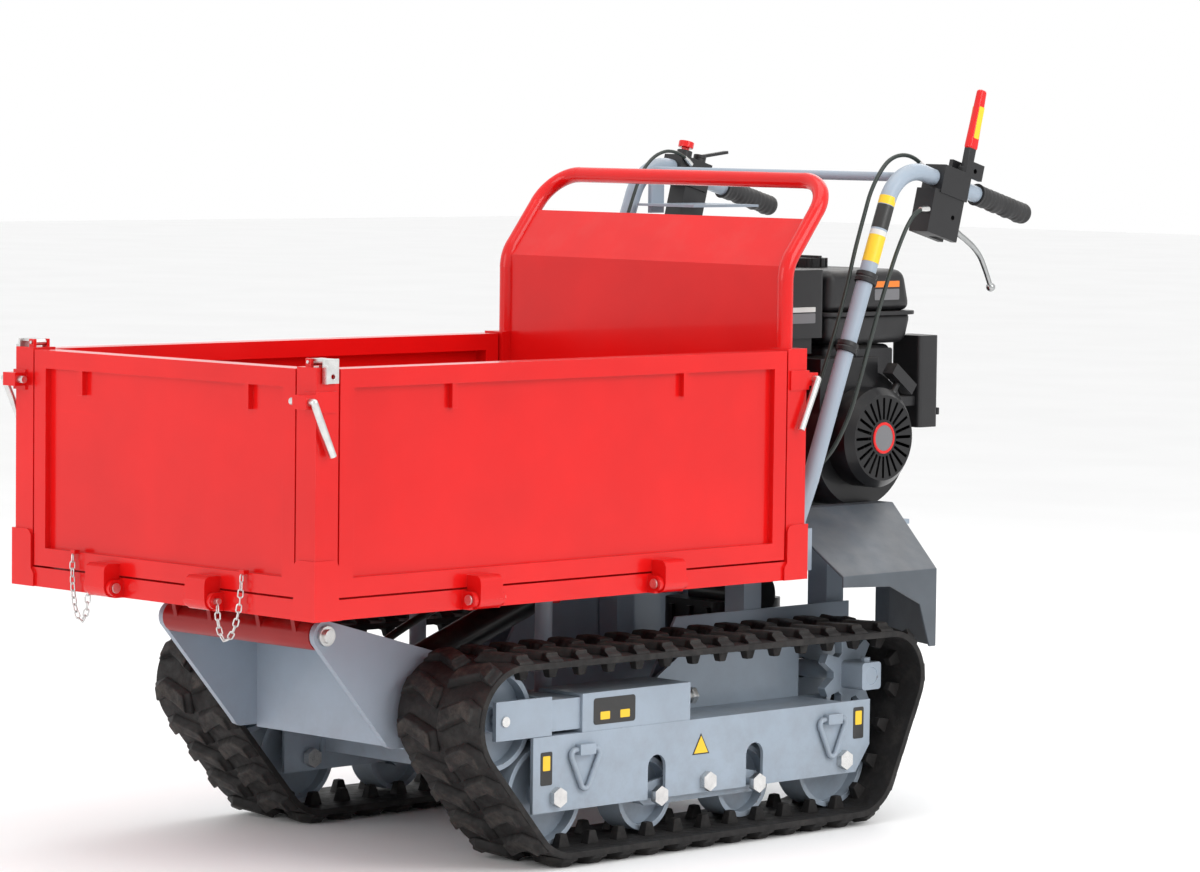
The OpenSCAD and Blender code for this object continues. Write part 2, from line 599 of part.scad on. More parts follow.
// --- Engine
block_x0 = -130;
block_x1 = 100;
tank_z = 738;
tank_top = tank_z + tank_h;
module engine_block() color(black) place() {
  difference() {
    union() {
      soft_block([block_x0, 1210, engine_z], [block_x1, 1430, engine_z + 178], 18);
      // Slanted cylinder with its fins and head
      translate([0, crank_y - 30, crank_z]) rotate([25, 0, 0]) {
        block([-70, -70, 0], [80, 60, 104]);
        for (k = [0 : 4]) block([-84, -84, 34 + 15 * k], [90, 74, 38 + 15 * k]);
        block([-60, -60, 103], [60, 50, 128]);
      }
      rod_x(block_x0 - 20, block_x0, crank_y, crank_z, 90, 48);
      for (y = [1222, 1404]) block([block_x0 - 16, y, engine_z], [block_x1 + 16, y + 26, engine_z + 12]);
    }
  }
  // Crankshaft and drive pulley
  rod_x(block_x0 - 50, block_x1 + 20, crank_y, crank_z, 30, 48);
  rod_x(block_x0 - 48, block_x0 - 24, crank_y, crank_z, 96, 48);
}
module fan_housing() color(black) place() difference() {
  union() {
    rod_x(104, 184, crank_y + 4, crank_z - 3, 2 * fan_r, 96);
    block([104, crank_y - 98, crank_z], [184, crank_y + 40, crank_z + 128]);
  }
  rod_x(103, 178, crank_y + 4, crank_z - 3, 2 * fan_r - 8, 96);
  block([103, crank_y - 94, crank_z], [178, crank_y + 36, crank_z + 124]);
  rod_x(170, 190, crank_y, crank_z, 120, 64);
}
slot_n = 24;
module recoil_cover() color(black) place() {
  rope_eye();
  translate([184, crank_y, crank_z]) rotate([0, 90, 0]) difference() {
    union() {
      cylinder(r = recoil_r, h = 38, $fn = 96);
      translate([0, 0, 38]) cylinder(r1 = recoil_r, r2 = recoil_r - 12, h = 12, $fn = 96);
    }
    translate([0, 0, -1]) cylinder(r = recoil_r - 3, h = 38, $fn = 96);
    translate([0, 0, 36]) cylinder(r1 = recoil_r - 4, r2 = recoil_r - 15, h = 11, $fn = 96);
    for (k = [0 : slot_n - 1]) rotate([0, 0, 360 / slot_n * k])
      translate([30, -2.5, 40]) cube([recoil_r - 46, 5, 20]);
  }
}
module rope_eye() translate([205, crank_y, crank_z]) rotate([-36.87, 0, 0]) translate([0, 0, recoil_r - 2])
  cylinder(d = 22, h = 8, $fn = 32);
module fuel_tank() color(black) place() difference() {
  union() {
    soft_block([-140, 1268, tank_z + 6], [146, 1478, tank_z + 54], 20);
    soft_block([-146, 1262, tank_z + 54], [152, 1486, tank_z + 60], 22);
    soft_block([-140, 1266, tank_z + 60], [148, 1474, tank_top - 10], 24);
    soft_block([-128, 1274, tank_top - 10], [136, 1462, tank_top], 24);
    rod_z(tank_top, tank_top + 8, 5, 1372, 2 * cap_r - 14, 48);
    for (x = [-110, 70]) for (y = [1352, 1410]) block([x, y, engine_z + 178], [x + 16, y + 16, tank_z + 7]);
  }
}
module fuel_cap() color(black) place() translate([5, 1372, tank_top + fit]) difference() {
  union() {
    cylinder(r = cap_r, h = 15, $fn = 64);
    for (k = [0 : 11]) rotate([0, 0, 30 * k]) translate([cap_r - 2, -3, 0]) cube([4, 6, 15]);
    translate([-cap_r + 4, -4, 15]) cube([2 * cap_r - 8, 8, 4]);
  }
  translate([0, 0, -1]) cylinder(r = cap_r - 6.6, h = 9.6, $fn = 64);
}
module air_cleaner() color(black) place() {
  soft_block([-24, 1168, tank_z + 20], [150, 1258, tank_top + 2], 12);
  soft_block([-10, 1180, tank_z - 6], [136, 1246, tank_z + 20], 8);
  block([92, 1172, 690], [136, 1208, tank_z - 5]);
  rod_x(60, 94, 1204, 702, 20, 32);
}
module muffler() color(steel) place() {
  soft_block([-235, 1150, 656], [-150, 1290, 748], 20);
  rod_x(-152, -60, 1200, 691, 22, 32);
  rod_y(1110, 1152, -190, 710, 26, 32);
}
module control_box() color(black) place() {
  soft_block([96, 1478, 604], [160, 1526, 756], 8);
  block([110, 1430, 640], [150, 1478, 656]);
  rod_y(1526, 1534, 128, 628, 22, 32);
}
module ignition_key() color(black) place() {
  rod_y(1534 + fit, 1544, 128, 628, 8, 32);
  block([114, 1544, 622], [142, 1550, 634]);
}
pull_dir = [0, 0.6, 0.8];
module recoil_handle() color(black) place() {
  r = recoil_r + fit + 6;
  bar([205, crank_y + 0.6 * r, crank_z + 0.8 * r], [205, crank_y + 0.6 * (r + 22), crank_z + 0.8 * (r + 22)], 10);
  multmatrix([[1, 0, 0, 205], [0, 0.8, 0.6, crank_y + 0.6 * (r + 18)], [0, -0.6, 0.8, crank_z + 0.8 * (r + 18)],
    [0, 0, 0, 1]]) block([-11, -30, 0], [11, 30, 20]);
}

// --- Hydraulics
module hydraulic_pump() color(black) place() {
  soft_block([-190, 1364, engine_z], [-148, 1440, 600], 10);
  rod_x(-236, -190, 1400, 550, 60, 48);
}
ram_a = [ram_foot[0] + 52, ram_foot[1]];
ram_b = [775, 366];
ram_len = norm(ram_b - ram_a);
ram_ang = atan2(ram_b[1] - ram_a[1], ram_b[0] - ram_a[0]);
ram_body = ram_len - 40;
module ram_place() translate([0, ram_a[0], ram_a[1]]) rotate([ram_ang, 0, 0]) children();
module ram_barrel() color(black) place() ram_place() difference() {
  union() {
    rod_y(22, ram_body, 0, 0, ram_od, 64);
    rod_x(-27, 27, 0, 0, 34, 48);
    block([-18, 0, -13], [18, 24, 13]);
    rod_x(-44, 44, 0, 0, 16, 48);
  }
  rod_y(34, ram_body - 16, 0, 0, ram_bore, 64);
  rod_y(34, ram_body + 1, 0, 0, ram_rod_d + 2 * pin_fit, 48);
}
module ram_rod() color(zinc) place() ram_place() {
  rod_y(60, ram_len - 10, 0, 0, ram_rod_d, 48);
  rod_y(46, 62, 0, 0, ram_bore - 2 * pin_fit, 64);
  rod_x(-16, 16, ram_len, 0, 34, 48);
}

// --- Handlebar and its controls
function handle_pt(p) = [handle_x, p[0], p[1]];
module handlebar() color(grey) place() {
  both() {
    bent_bar([handle_pt(handle_foot), handle_pt(handle_knee), handle_pt(handle_top),
      [handle_x, grip_end_y - grip_dir[0] * 8, grip_end_z - grip_dir[1] * 8]], handle_d, handle_bend);
  }
  rod_x(-handle_x + 6, handle_x - 6, 1287, 1020, crossbar_d, 32);
  // Console plate on its two lugs
  block([-262, 1236, 962], [-130, 1392, 966]);
  block([-262, 1262, 950], [-254, 1292, 1016]);
}
module grips() color(rubber) place() both() difference() {
  bar([handle_x, grip_end_y - grip_dir[0] * grip_l, grip_end_z - grip_dir[1] * grip_l],
    [handle_x, grip_end_y, grip_end_z], grip_d);
  bar([handle_x, grip_end_y - grip_dir[0] * (grip_l + 1), grip_end_z - grip_dir[1] * (grip_l + 1)],
    [handle_x, grip_end_y - grip_dir[0] * 7.7, grip_end_z - grip_dir[1] * 7.7], handle_d + 0.4);
}
// Slanted frame on the rear leg of the handlebar: u along the leg towards the grip, w square to it
leg_ang = atan2(grip_dir[1], grip_dir[0]);
module on_leg(u, s = 1) translate([s * handle_x, handle_top[0] + grip_dir[0] * u, handle_top[1] + grip_dir[1] * u])
  rotate([leg_ang, 0, 0]) children();
module control_housings() color(black) place() {
  // Left: clamp, lever block and the hand lever's mouth
  on_leg(112) difference() {
    union() {
      block([-22, -22, -24], [22, 44, 22]);
      block([-20, -34, -92], [20, 40, -20]);
      for (x = [-20, 12]) block([x, 30, 18], [x + 8, 72, 44]);
    }
    rod_y(-60, 80, 0, 0, handle_d + 0.4, 48);
    block([-8.5, 2, -100], [8.5, 46, -34]);
    rod_x(-30, 30, 52, 30, 8 + 2 * pin_fit, 32);
    rod_x(-30, 30, 20, -56, 8 + 2 * pin_fit, 32);
  }
  // Right: clamp with the stop button's seat and the throttle's quadrant
  on_leg(112, -1) difference() {
    union() {
      block([-22, -44, -24], [22, 30, 24]);
      block([-18, -20, -86], [18, 34, -20]);
      rod_z(23, 36, 0, -20, 26, 32);
      rod_z(20, 32, 0, 18, 22, 32);
    }
    rod_y(-60, 80, 0, 0, handle_d + 0.4, 48);
    rod_z(24, 40, 0, -20, 14, 32);
  }
}
module stop_button() color(red) place() on_leg(112, -1) {
  rod_z(36 + 5, 52, 0, -20, 26, 48);
  rod_z(28, 42, 0, -20, 13, 32);
}
module throttle_lever() color(black) place() on_leg(112, -1) {
  rod_z(32 + fit, 38, 0, 18, 22, 32);
  translate([0, 18, 33]) rotate([22, 0, 0]) block([-5, 8, 0], [5, 66, 5]);
}
module drive_lever() place() on_leg(112) {
  color(black) {
    rod_x(-11.5, 11.5, 52, 30, 22, 32);
    rod_x(-22, 22, 52, 30, 8, 32);
    block([-7, 44, 36], [7, 60, 68]);
  }
  color(red) block([-8, 41, 67], [8, 64, 167]);
}
module clutch_lever() color(zinc) place() on_leg(112) {
  rod_x(-8, 8, 20, -56, 20, 32);
  rod_x(-21, 21, 20, -56, 8, 32);
  bent_bar([[0, 24, -58], [0, 66, -74], [0, 117, -86], [0, 164, -134]], 11, 24);
  translate([0, 165, -135]) sphere(d = 16, $fn = 32);
}

// --- Cables along the left tube and hoses from the pump to the ram
cable_drive = [[267, 1363, 1030], [266, 1345, 1046], [265, 1322, 1054], [264, 1298, 1053], [264, 1275, 1043],
  [264, 1254, 1022], [264, 1236, 994], [265, 1222, 962], [266, 1200, 905], [267, 1180, 845], [267, 1160, 790],
  [265, 1140, 735], [260, 1120, 680], [248, 1102, 628], [224, 1084, 580], [196, 1074, 545], [172, 1070, 514],
  [163, 1070, 484], [163, 1070, engine_z + 0.3]];
cable_clutch = [[301, 1333, 969], [302, 1316, 968], [303, 1298, 960], [304, 1282, 944], [304, 1268, 922],
  [304, 1252, 892], [304, 1234, 852], [304, 1212, 800], [304, 1192, 748], [304, 1172, 695],
  [301, 1152, 642], [288, 1130, 590], [262, 1110, 552], [226, 1096, 530], [184, 1088, 514],
  [155, 1086, 488], [153, 1086, engine_z + 0.3]];
cable_throttle = [[-260.8, 1363, 1030], [-260.8, 1345, 1044], [-260.8, 1322, 1052], [-262, 1298, 1052],
  [-264, 1272, 1040], [-265, 1248, 1014], [-266, 1226, 966], [-267, 1204, 908],
  [-266, 1180, 844], [-262, 1156, 778], [-240, 1136, 722], [-200, 1130, 690], [-150, 1132, 668],
  [-104, 1160, 655], [-84.5, 1196, 640]];
hose_a = [[-178, 1402, engine_z - 0.3], [-178, 1402, 436], [-181, 1380, 412], [-183, 1330, 400], [-183, 1200, 388],
  [-181, 1040, 386], [-168, 900, 376], [-138, 760, 360], [-96, 640, 340], [-72, 560, 322], [-60, 490, 296],
  [-52, 430, 258], [-44.8, 398, 236]];
module cables_and_hoses() color(black) place() {
  cord(cable_drive, 7);
  cord(cable_clutch, 7);
  cord(cable_throttle, 6);
  cord(hose_a, 13, 10);
}

// --- Cargo box
half_w = box_w / 2;
gusset_t = 4;
module gusset_outline(w) {
  n = 6;
  polygon(concat([[0, 0], [w + 6, 0], [w + 6, rail_h - 9], [w, rail_h - 1]],
    [for (k = [0 : n]) let (a = 90 * k / n) [w - 12 + 12 * cos(a), gusset_h - 12 + 12 * sin(a)]],
    [[0, gusset_h]]));
}
module corner_gusset() {
  // On the end face
  slab_y(-gusset_t, 0) translate([half_w + gusset_t, box_z]) mirror([1, 0]) gusset_outline(post_w + gusset_t);
  // On the side face
  slab_x(half_w, half_w + gusset_t) translate([0, box_z]) gusset_outline(post_w);
}
module at_rear() translate([0, box_l, 0]) mirror([0, 1, 0]) children();
// The same turn for something that is already in the part's own frame
module at_rear_place() translate([0, box_l - 2 * mid_y, 0]) mirror([0, 1, 0]) children();
bolt_y = -bolt_d / 2 - 8;
bolt_z = top_z - bolt_drop;
bolt_tip_x = half_w - post_w + 4;
bolt_bend_x = half_w + 11;
// Guide block for a slide bolt, with its plate round the post
module bolt_guide() difference() {
  union() {
    block([half_w - 26, bolt_y - 9, bolt_z - 10], [half_w + 3, -eps, bolt_z + 10]);
    block([half_w, -eps, bolt_z - 16], [half_w + 3, post_w - 4, bolt_z + 14]);
    block([half_w - 26, -3, bolt_z - 16], [half_w + 3, 0, bolt_z + 14]);
  }
  rod_x(half_w - 60, half_w + 20, bolt_y, bolt_z, bolt_d + 2 * pin_fit, 48);
}
module hinge_ear(s) translate([s * (sleeve_w / 2 + 4.4), 0, 0]) difference() {
  slab_x(-4, 4) {
    polygon([[-hinge_y, box_z], [0, box_z], [0, box_z + rail_h - 2], [-hinge_y, box_z + rail_h - 2]]);
    translate([-hinge_y, hinge_z]) circle(r = hinge_y - 3, $fn = 48);
  }
  rod_x(-10, 10, -hinge_y, hinge_z, hinge_pin_d + 0.1, 32);
}
// Turns something drawn for the front edge to the left side, at a station along the box
module to_side(y) translate([half_w, y, 0]) rotate([0, 0, 90]) children();
ear_ys = [box_l / 2 - side_sleeve_y, box_l / 2 + side_sleeve_y];
module bed_frame() place() {
  color(red) difference() {
    union() {
      both() {
        block([half_w - post_w, 0, box_z], [half_w, box_l, floor_z]);
        for (y = [0, box_l - post_w]) block([half_w - post_w, y, box_z], [half_w, y + post_w, top_z]);
        corner_gusset();
        at_rear() corner_gusset();
        bolt_guide();
        at_rear() bolt_guide();
        block([100, post_w, box_z + 1], [140, box_l - post_w, floor_z]);
        for (y = ear_ys) to_side(y) for (s = [-1, 1]) hinge_ear(s);
        translate([tail_sleeve_x, 0, 0]) for (s = [-1, 1]) hinge_ear(s);
        // Hook pivots on the front posts
        block([half_w - 33, 8, top_z], [half_w - 21, 13, top_z + 12]);
        block([half_w - 33, 33, top_z], [half_w - 21, 38, top_z + 12]);
      }
      for (y = [0, box_l - post_w]) block([-half_w + post_w, y, box_z], [half_w - post_w, y + post_w, floor_z]);
      for (y = [330, 620, 800]) block([-half_w + post_w, y, box_z + 1], [half_w - post_w, y + 40, floor_z]);
      block([-half_w + post_w, post_w, floor_z - sheet_t], [half_w - post_w, box_l - post_w, floor_z]);
    }
    both() rod_y(0, 50, half_w - 27, top_z + 7, 5 + 2 * pin_fit, 48);
  }
  // Tipping tube and its hangers
  color(dark_red) difference() {
    union() {
      rod_x(-beam_x1 + 1, beam_x1 - 1, pivot_y, pivot_z, pivot_tube_d, 64);
      for (x = [-140, -60, 52, 132]) slab_x(x, x + 8)
        polygon([[pivot_y - 34, box_z + 1], [pivot_y - 22, pivot_z], [pivot_y + 22, pivot_z],
          [pivot_y + 60, box_z + 1]]);
      block([-beam_x1 + 1, pivot_y - 40, box_z - 3], [beam_x1 - 1, pivot_y + 70, box_z + 1]);
    }
    rod_x(-250, 250, pivot_y, pivot_z, pivot_pin_d + 0.1, 48);
  }
  // Ears for the head of the ram
  color(red) for (x = [-30, 20]) slab_x(x, x + 10) polygon([[ram_b[0] - 34, box_z + 1], [ram_b[0] - 18, ram_b[1] - 8],
    [ram_b[0] - 8, ram_b[1] - 18], [ram_b[0] + 8, ram_b[1] - 18], [ram_b[0] + 18, ram_b[1] - 8],
    [ram_b[0] + 34, box_z + 1]]);
}
// Pin with a head at one end and room for a spring clip at the other
module hinge_pin() {
  rod_x(-sleeve_w / 2 - 16, sleeve_w / 2 + 12, -hinge_y, hinge_z, hinge_pin_d, 32);
  rod_x(sleeve_w / 2 + 9, sleeve_w / 2 + 12, -hinge_y, hinge_z, hinge_pin_d + 6, 32);
}
module hinge_pins() color(zinc) place() {
  both() {
    for (y = ear_ys) to_side(y) mirror([1, 0, 0]) hinge_pin();
    translate([tail_sleeve_x, 0, 0]) mirror([1, 0, 0]) hinge_pin();
  }
  // Tipping pin
  rod_x(-beam_x1 - bracket_t - 3, beam_x1 + bracket_t + 12, pivot_y, pivot_z, pivot_pin_d, 48);
  rod_x(beam_x1 + bracket_t + fit, beam_x1 + bracket_t + 6, pivot_y, pivot_z, pivot_pin_d + 10, 48);
}
// Chains from the tailgate's foot to its hinge pins
chain_x = tail_sleeve_x + sleeve_w / 2 + 12;
chain_route = [[chain_x, -hinge_y, hinge_z - hinge_pin_d / 2 - 0.4], [chain_x + 1, -hinge_y - 1, 382],
  [chain_x + 9, -hinge_y - 1, 364], [chain_x + 20, -hinge_y + 1, 358], [chain_x + 32, -11, 370],
  [chain_x + 40, -9, 396], [chain_x + 44, -8, 426], [chain_x + 45, -6, panel_z0 + rim_w - 2.4]];
module safety_chains() color(zinc) place() both() cord(chain_route, 5);

// --- Headboard: folded sheet in front of the guard hoop
hoop_y = box_l - 20;
hoop_lean = [105, hoop_top_z - hoop_fold_z];
lean_ang = atan2(hoop_lean[1], hoop_lean[0]);
sheet_rise = 72;
module headboard() color(red) place() {
  bent_bar([[hoop_x, hoop_y, top_z], [hoop_x, hoop_y, hoop_fold_z],
    [hoop_x, hoop_y + hoop_lean[0], hoop_top_z], [-hoop_x, hoop_y + hoop_lean[0], hoop_top_z],
    [-hoop_x, hoop_y, hoop_fold_z], [-hoop_x, hoop_y, top_z]], hoop_d, 60);
  k = sheet_rise / tan(lean_ang);
  z1 = hoop_fold_z + sheet_rise;
  slab_x(-hoop_x + 6, hoop_x - 6) polygon([[hoop_y, top_z + 0.5], [hoop_y, hoop_fold_z - 0.5],
    [hoop_y + k, z1 - 0.5], [hoop_y + k - sheet_t, z1 + sheet_t * 0.8 - 0.5],
    [hoop_y - sheet_t, hoop_fold_z + 0.6], [hoop_y - sheet_t, top_z + 0.5]]);
  w = half_w - post_w - 0.2;
  block([-w, hoop_y - sheet_t, floor_z], [w, hoop_y, top_z + 0.6]);
}

// --- Panels: a tube frame round an inset sheet, with hinge sleeves along the foot
module hinge_sleeve() difference() {
  slab_x(-sleeve_w / 2, sleeve_w / 2) union() {
    polygon([[-sleeve_d, hinge_z], [0, hinge_z], [0, box_z + sleeve_h], [-sleeve_d + 8, box_z + sleeve_h],
      [-sleeve_d + 2, box_z + sleeve_h - 4], [-sleeve_d, box_z + sleeve_h - 10]]);
    translate([-hinge_y, hinge_z]) circle(r = hinge_y - fit, $fn = 64);
  }
  rod_x(-sleeve_w, sleeve_w, -hinge_y, hinge_z, hinge_pin_d + 2 * pin_fit, 48);
  block([-sleeve_w, -fit, hinge_z - 40], [sleeve_w, 5, floor_z + 1]);
}
// A panel of length l drawn along X from -l/2 to l/2, its outer face at y = 0
module panel(l, sleeves, tabs) {
  h = panel_z1 - panel_z0;
  difference() {
    block([-l / 2, 0, panel_z0], [l / 2, panel_t, panel_z1]);
    block([-l / 2 + rim_w, -1, panel_z0 + rim_w], [l / 2 - rim_w, 10, panel_z1 - rim_w]);
    block([-l / 2 + rim_w, 10 + sheet_t, panel_z0 + rim_w], [l / 2 - rim_w, panel_t + 1, panel_z1 - rim_w]);
  }
  for (x = tabs) block([x - 5, 1, panel_z1 - rim_w - 36], [x + 5, 10, panel_z1 - rim_w]);
  for (x = sleeves) translate([x, 0, 0]) hinge_sleeve();
}
module tailgate() color(red) place() {
  panel(box_w - 2 * post_w - 2 * panel_gap, [-tail_sleeve_x, tail_sleeve_x], [-190, 190]);
  both() block([chain_x + 40, -9, panel_z0 + rim_w - 2], [chain_x + 50, 1, panel_z0 + rim_w + 4]);
}
module side_panel() color(red) place() to_side(box_l / 2)
  panel(box_l - 2 * post_w - 2 * panel_gap, [-side_sleeve_y, side_sleeve_y], [-238, 238]);

// --- Latches
module corner_hook() color(zinc) place() {
  px = half_w - 27;
  pz = top_z + 7;
  difference() {
    union() {
      rod_y(13 + fit, 33 - fit, px, pz, 10, 32);
      block([px, 13 + fit, pz + 1], [half_w + 6, 33 - fit, pz + 1 + hook_t]);
      block([half_w + 2, 9, pz - 30], [half_w + 2 + hook_t, 37, pz + 1 + hook_t]);
      block([half_w + 2, 9, pz - 30], [half_w + 12, 12, pz - 4]);
    }
    rod_x(half_w - 10, half_w + 20, 26, pz - 20, 7, 32);
  }
  rod_y(6, 40, px, pz, 5, 32);
}
module slide_bolt() color(zinc) place() {
  rod_x(bolt_tip_x, bolt_bend_x, bolt_y, bolt_z, bolt_d, 48);
  translate([bolt_bend_x, bolt_y, bolt_z]) sphere(d = bolt_d, $fn = 48);
  bar([bolt_bend_x, bolt_y, bolt_z], [bolt_bend_x, bolt_y + bolt_handle_l * 0.42, bolt_z - bolt_handle_l * 0.9], bolt_d);
}

chassis_frame();
left() roller_frame();  // roller_frame_left
right() roller_frame();  // roller_frame_right
left() track_belt();  // track_belt_left
right() track_belt();  // track_belt_right
axle_bolts();
gearbox();
rear_cover();
engine_block();
fan_housing();
recoil_cover();
fuel_tank();
air_cleaner();
muffler();
control_box();
handlebar();
grips();
control_housings();
cables_and_hoses();
hydraulic_pump();
fuel_cap();
recoil_handle();
ignition_key();
stop_button();
throttle_lever();
drive_lever();
clutch_lever();
ram_barrel();
ram_rod();
left() road_wheel(front_wheel_y);  // front_wheel_left
right() road_wheel(front_wheel_y);  // front_wheel_right
left() road_wheel(rear_wheel_y);  // rear_wheel_left
right() road_wheel(rear_wheel_y);  // rear_wheel_right
left() bogie_roller(rocker_y - roller_pitch / 2);  // roller_a_left
right() bogie_roller(rocker_y - roller_pitch / 2);  // roller_a_right
left() bogie_roller(rocker_y + roller_pitch / 2);  // roller_b_left
right() bogie_roller(rocker_y + roller_pitch / 2);  // roller_b_right
left() idler();  // idler_left
right() idler();  // idler_right
left() sprocket();  // sprocket_left
right() sprocket();  // sprocket_right
left() bogie_rocker();  // bogie_rocker_left
right() bogie_rocker();  // bogie_rocker_right
left() idler_fork();  // idler_fork_left
right() idler_fork();  // idler_fork_right
left() lifting_rings();  // lifting_rings_left
right() lifting_rings();  // lifting_rings_right
bed_frame();
hinge_pins();
safety_chains();
headboard();
tailgate();
left() side_panel();  // side_panel_left
right() side_panel();  // side_panel_right
left() corner_hook();  // corner_hook_left
right() corner_hook();  // corner_hook_right
left() slide_bolt();  // slide_bolt_front_left
right() slide_bolt();  // slide_bolt_front_right
left() at_rear_place() slide_bolt();  // slide_bolt_rear_left
right() at_rear_place() slide_bolt();  // slide_bolt_rear_right
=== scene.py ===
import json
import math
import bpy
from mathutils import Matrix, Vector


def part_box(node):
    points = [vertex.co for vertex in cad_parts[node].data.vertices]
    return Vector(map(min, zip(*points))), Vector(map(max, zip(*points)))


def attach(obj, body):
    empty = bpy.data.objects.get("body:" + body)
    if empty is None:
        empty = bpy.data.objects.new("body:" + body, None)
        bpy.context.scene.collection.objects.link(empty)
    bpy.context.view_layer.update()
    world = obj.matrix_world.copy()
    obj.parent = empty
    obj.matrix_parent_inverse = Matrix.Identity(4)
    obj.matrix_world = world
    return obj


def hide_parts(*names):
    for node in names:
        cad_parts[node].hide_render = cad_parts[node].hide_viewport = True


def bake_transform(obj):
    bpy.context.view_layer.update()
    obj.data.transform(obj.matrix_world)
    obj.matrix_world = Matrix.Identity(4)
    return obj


bl_info = {
    "name": "Tracked Power Barrow",
    "version": (1, 0, 0),
    "blender": (4, 5, 0),
    "location": "3D View > Sidebar > Barrow",
    "description": "Finishes a tracked tipping barrow: tracks, box, engine, controls and the studio round it",
    "category": "Add Mesh",
}

import bpy
from bpy.props import FloatProperty, FloatVectorProperty, IntProperty, PointerProperty
from mathutils import Matrix, Vector

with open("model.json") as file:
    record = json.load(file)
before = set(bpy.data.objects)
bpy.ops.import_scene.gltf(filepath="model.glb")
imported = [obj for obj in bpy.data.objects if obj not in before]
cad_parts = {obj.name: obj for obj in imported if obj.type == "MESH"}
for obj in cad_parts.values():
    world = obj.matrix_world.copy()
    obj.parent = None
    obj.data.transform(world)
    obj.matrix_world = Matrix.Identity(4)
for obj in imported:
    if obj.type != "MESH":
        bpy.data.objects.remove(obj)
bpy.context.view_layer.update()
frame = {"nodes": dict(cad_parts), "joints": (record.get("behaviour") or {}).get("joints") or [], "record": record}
BODY_OF = {n: b for b, members in frame["record"]["behaviour"]["bodies"].items() for n in members}
AXLES = {j["name"]: Vector(j["pos_m"]) for j in frame["joints"]}
SIDES = (("left", 1), ("right", -1))
# Distance in metres from the front of the box to the model's origin;
# the drawing's places are measured from the front of the box
MIDDLE = 0.783356
# The left grip's tube, in mm: a point on it, and what it runs back and falls in each mm
LEG_X, LEG_Y, LEG_Z = 286, 1383.1, 1013.7
LEG_RUN, LEG_FALL = 0.9651, 0.2618
# Axis of the starter and the fan, and the outer faces that carry patches, in mm
STARTER_Y, STARTER_Z = 1310, 598
FRAME_FACE, SLEEVE_FACE, TANK_FACE, CLEANER_FACE = 331.3, 330.3, 148.2, 150.3


def named_colour(label, about, value):
    return FloatVectorProperty(name=label, description=about, subtype="COLOR", size=3, min=0, max=1,
                               default=value)


def length(label, about, value):
    return FloatProperty(name=label, description=about, unit="LENGTH", min=0.0001, default=value, precision=4)


class BarrowPaint(bpy.types.PropertyGroup):
    """Colours of the barrow's finishes"""

    box_red: named_colour("Box red", "Gloss paint of the cargo box", (0.66, 0.006, 0.006))
    frame_grey: named_colour("Frame grey", "Blue-grey paint of the undercarriage", (0.31, 0.37, 0.44))
    engine_black: named_colour("Engine black", "Paint of the engine's covers", (0.006, 0.006, 0.007))
    rubber_black: named_colour("Track rubber", "Rubber of the tracks", (0.010, 0.009, 0.009))
    dust: named_colour("Dust", "Dry dust on upward faces", (0.42, 0.38, 0.33))


class BarrowSizes(bpy.types.PropertyGroup):
    """Sizes of the details that are modelled here"""

    edge: length("Edge radius", "Rounding of folded and cut steel edges", 0.0009)
    moulded_edge: length("Moulded edge", "Rounding of plastic mouldings", 0.0025)
    lug_round: length("Lug rounding", "Rounding of the track lugs", 0.0030)
    lug_sweep: length("Lug sweep", "How far each lug leans along the track", 0.011)
    chain_wire: length("Chain wire", "Wire thickness of the chain links", 0.0024)
    chain_link: length("Chain link", "Outside length of a chain link", 0.0150)
    grip_ribs: IntProperty(name="Grip ribs", description="Ribs along each grip", min=4, max=24, default=13)


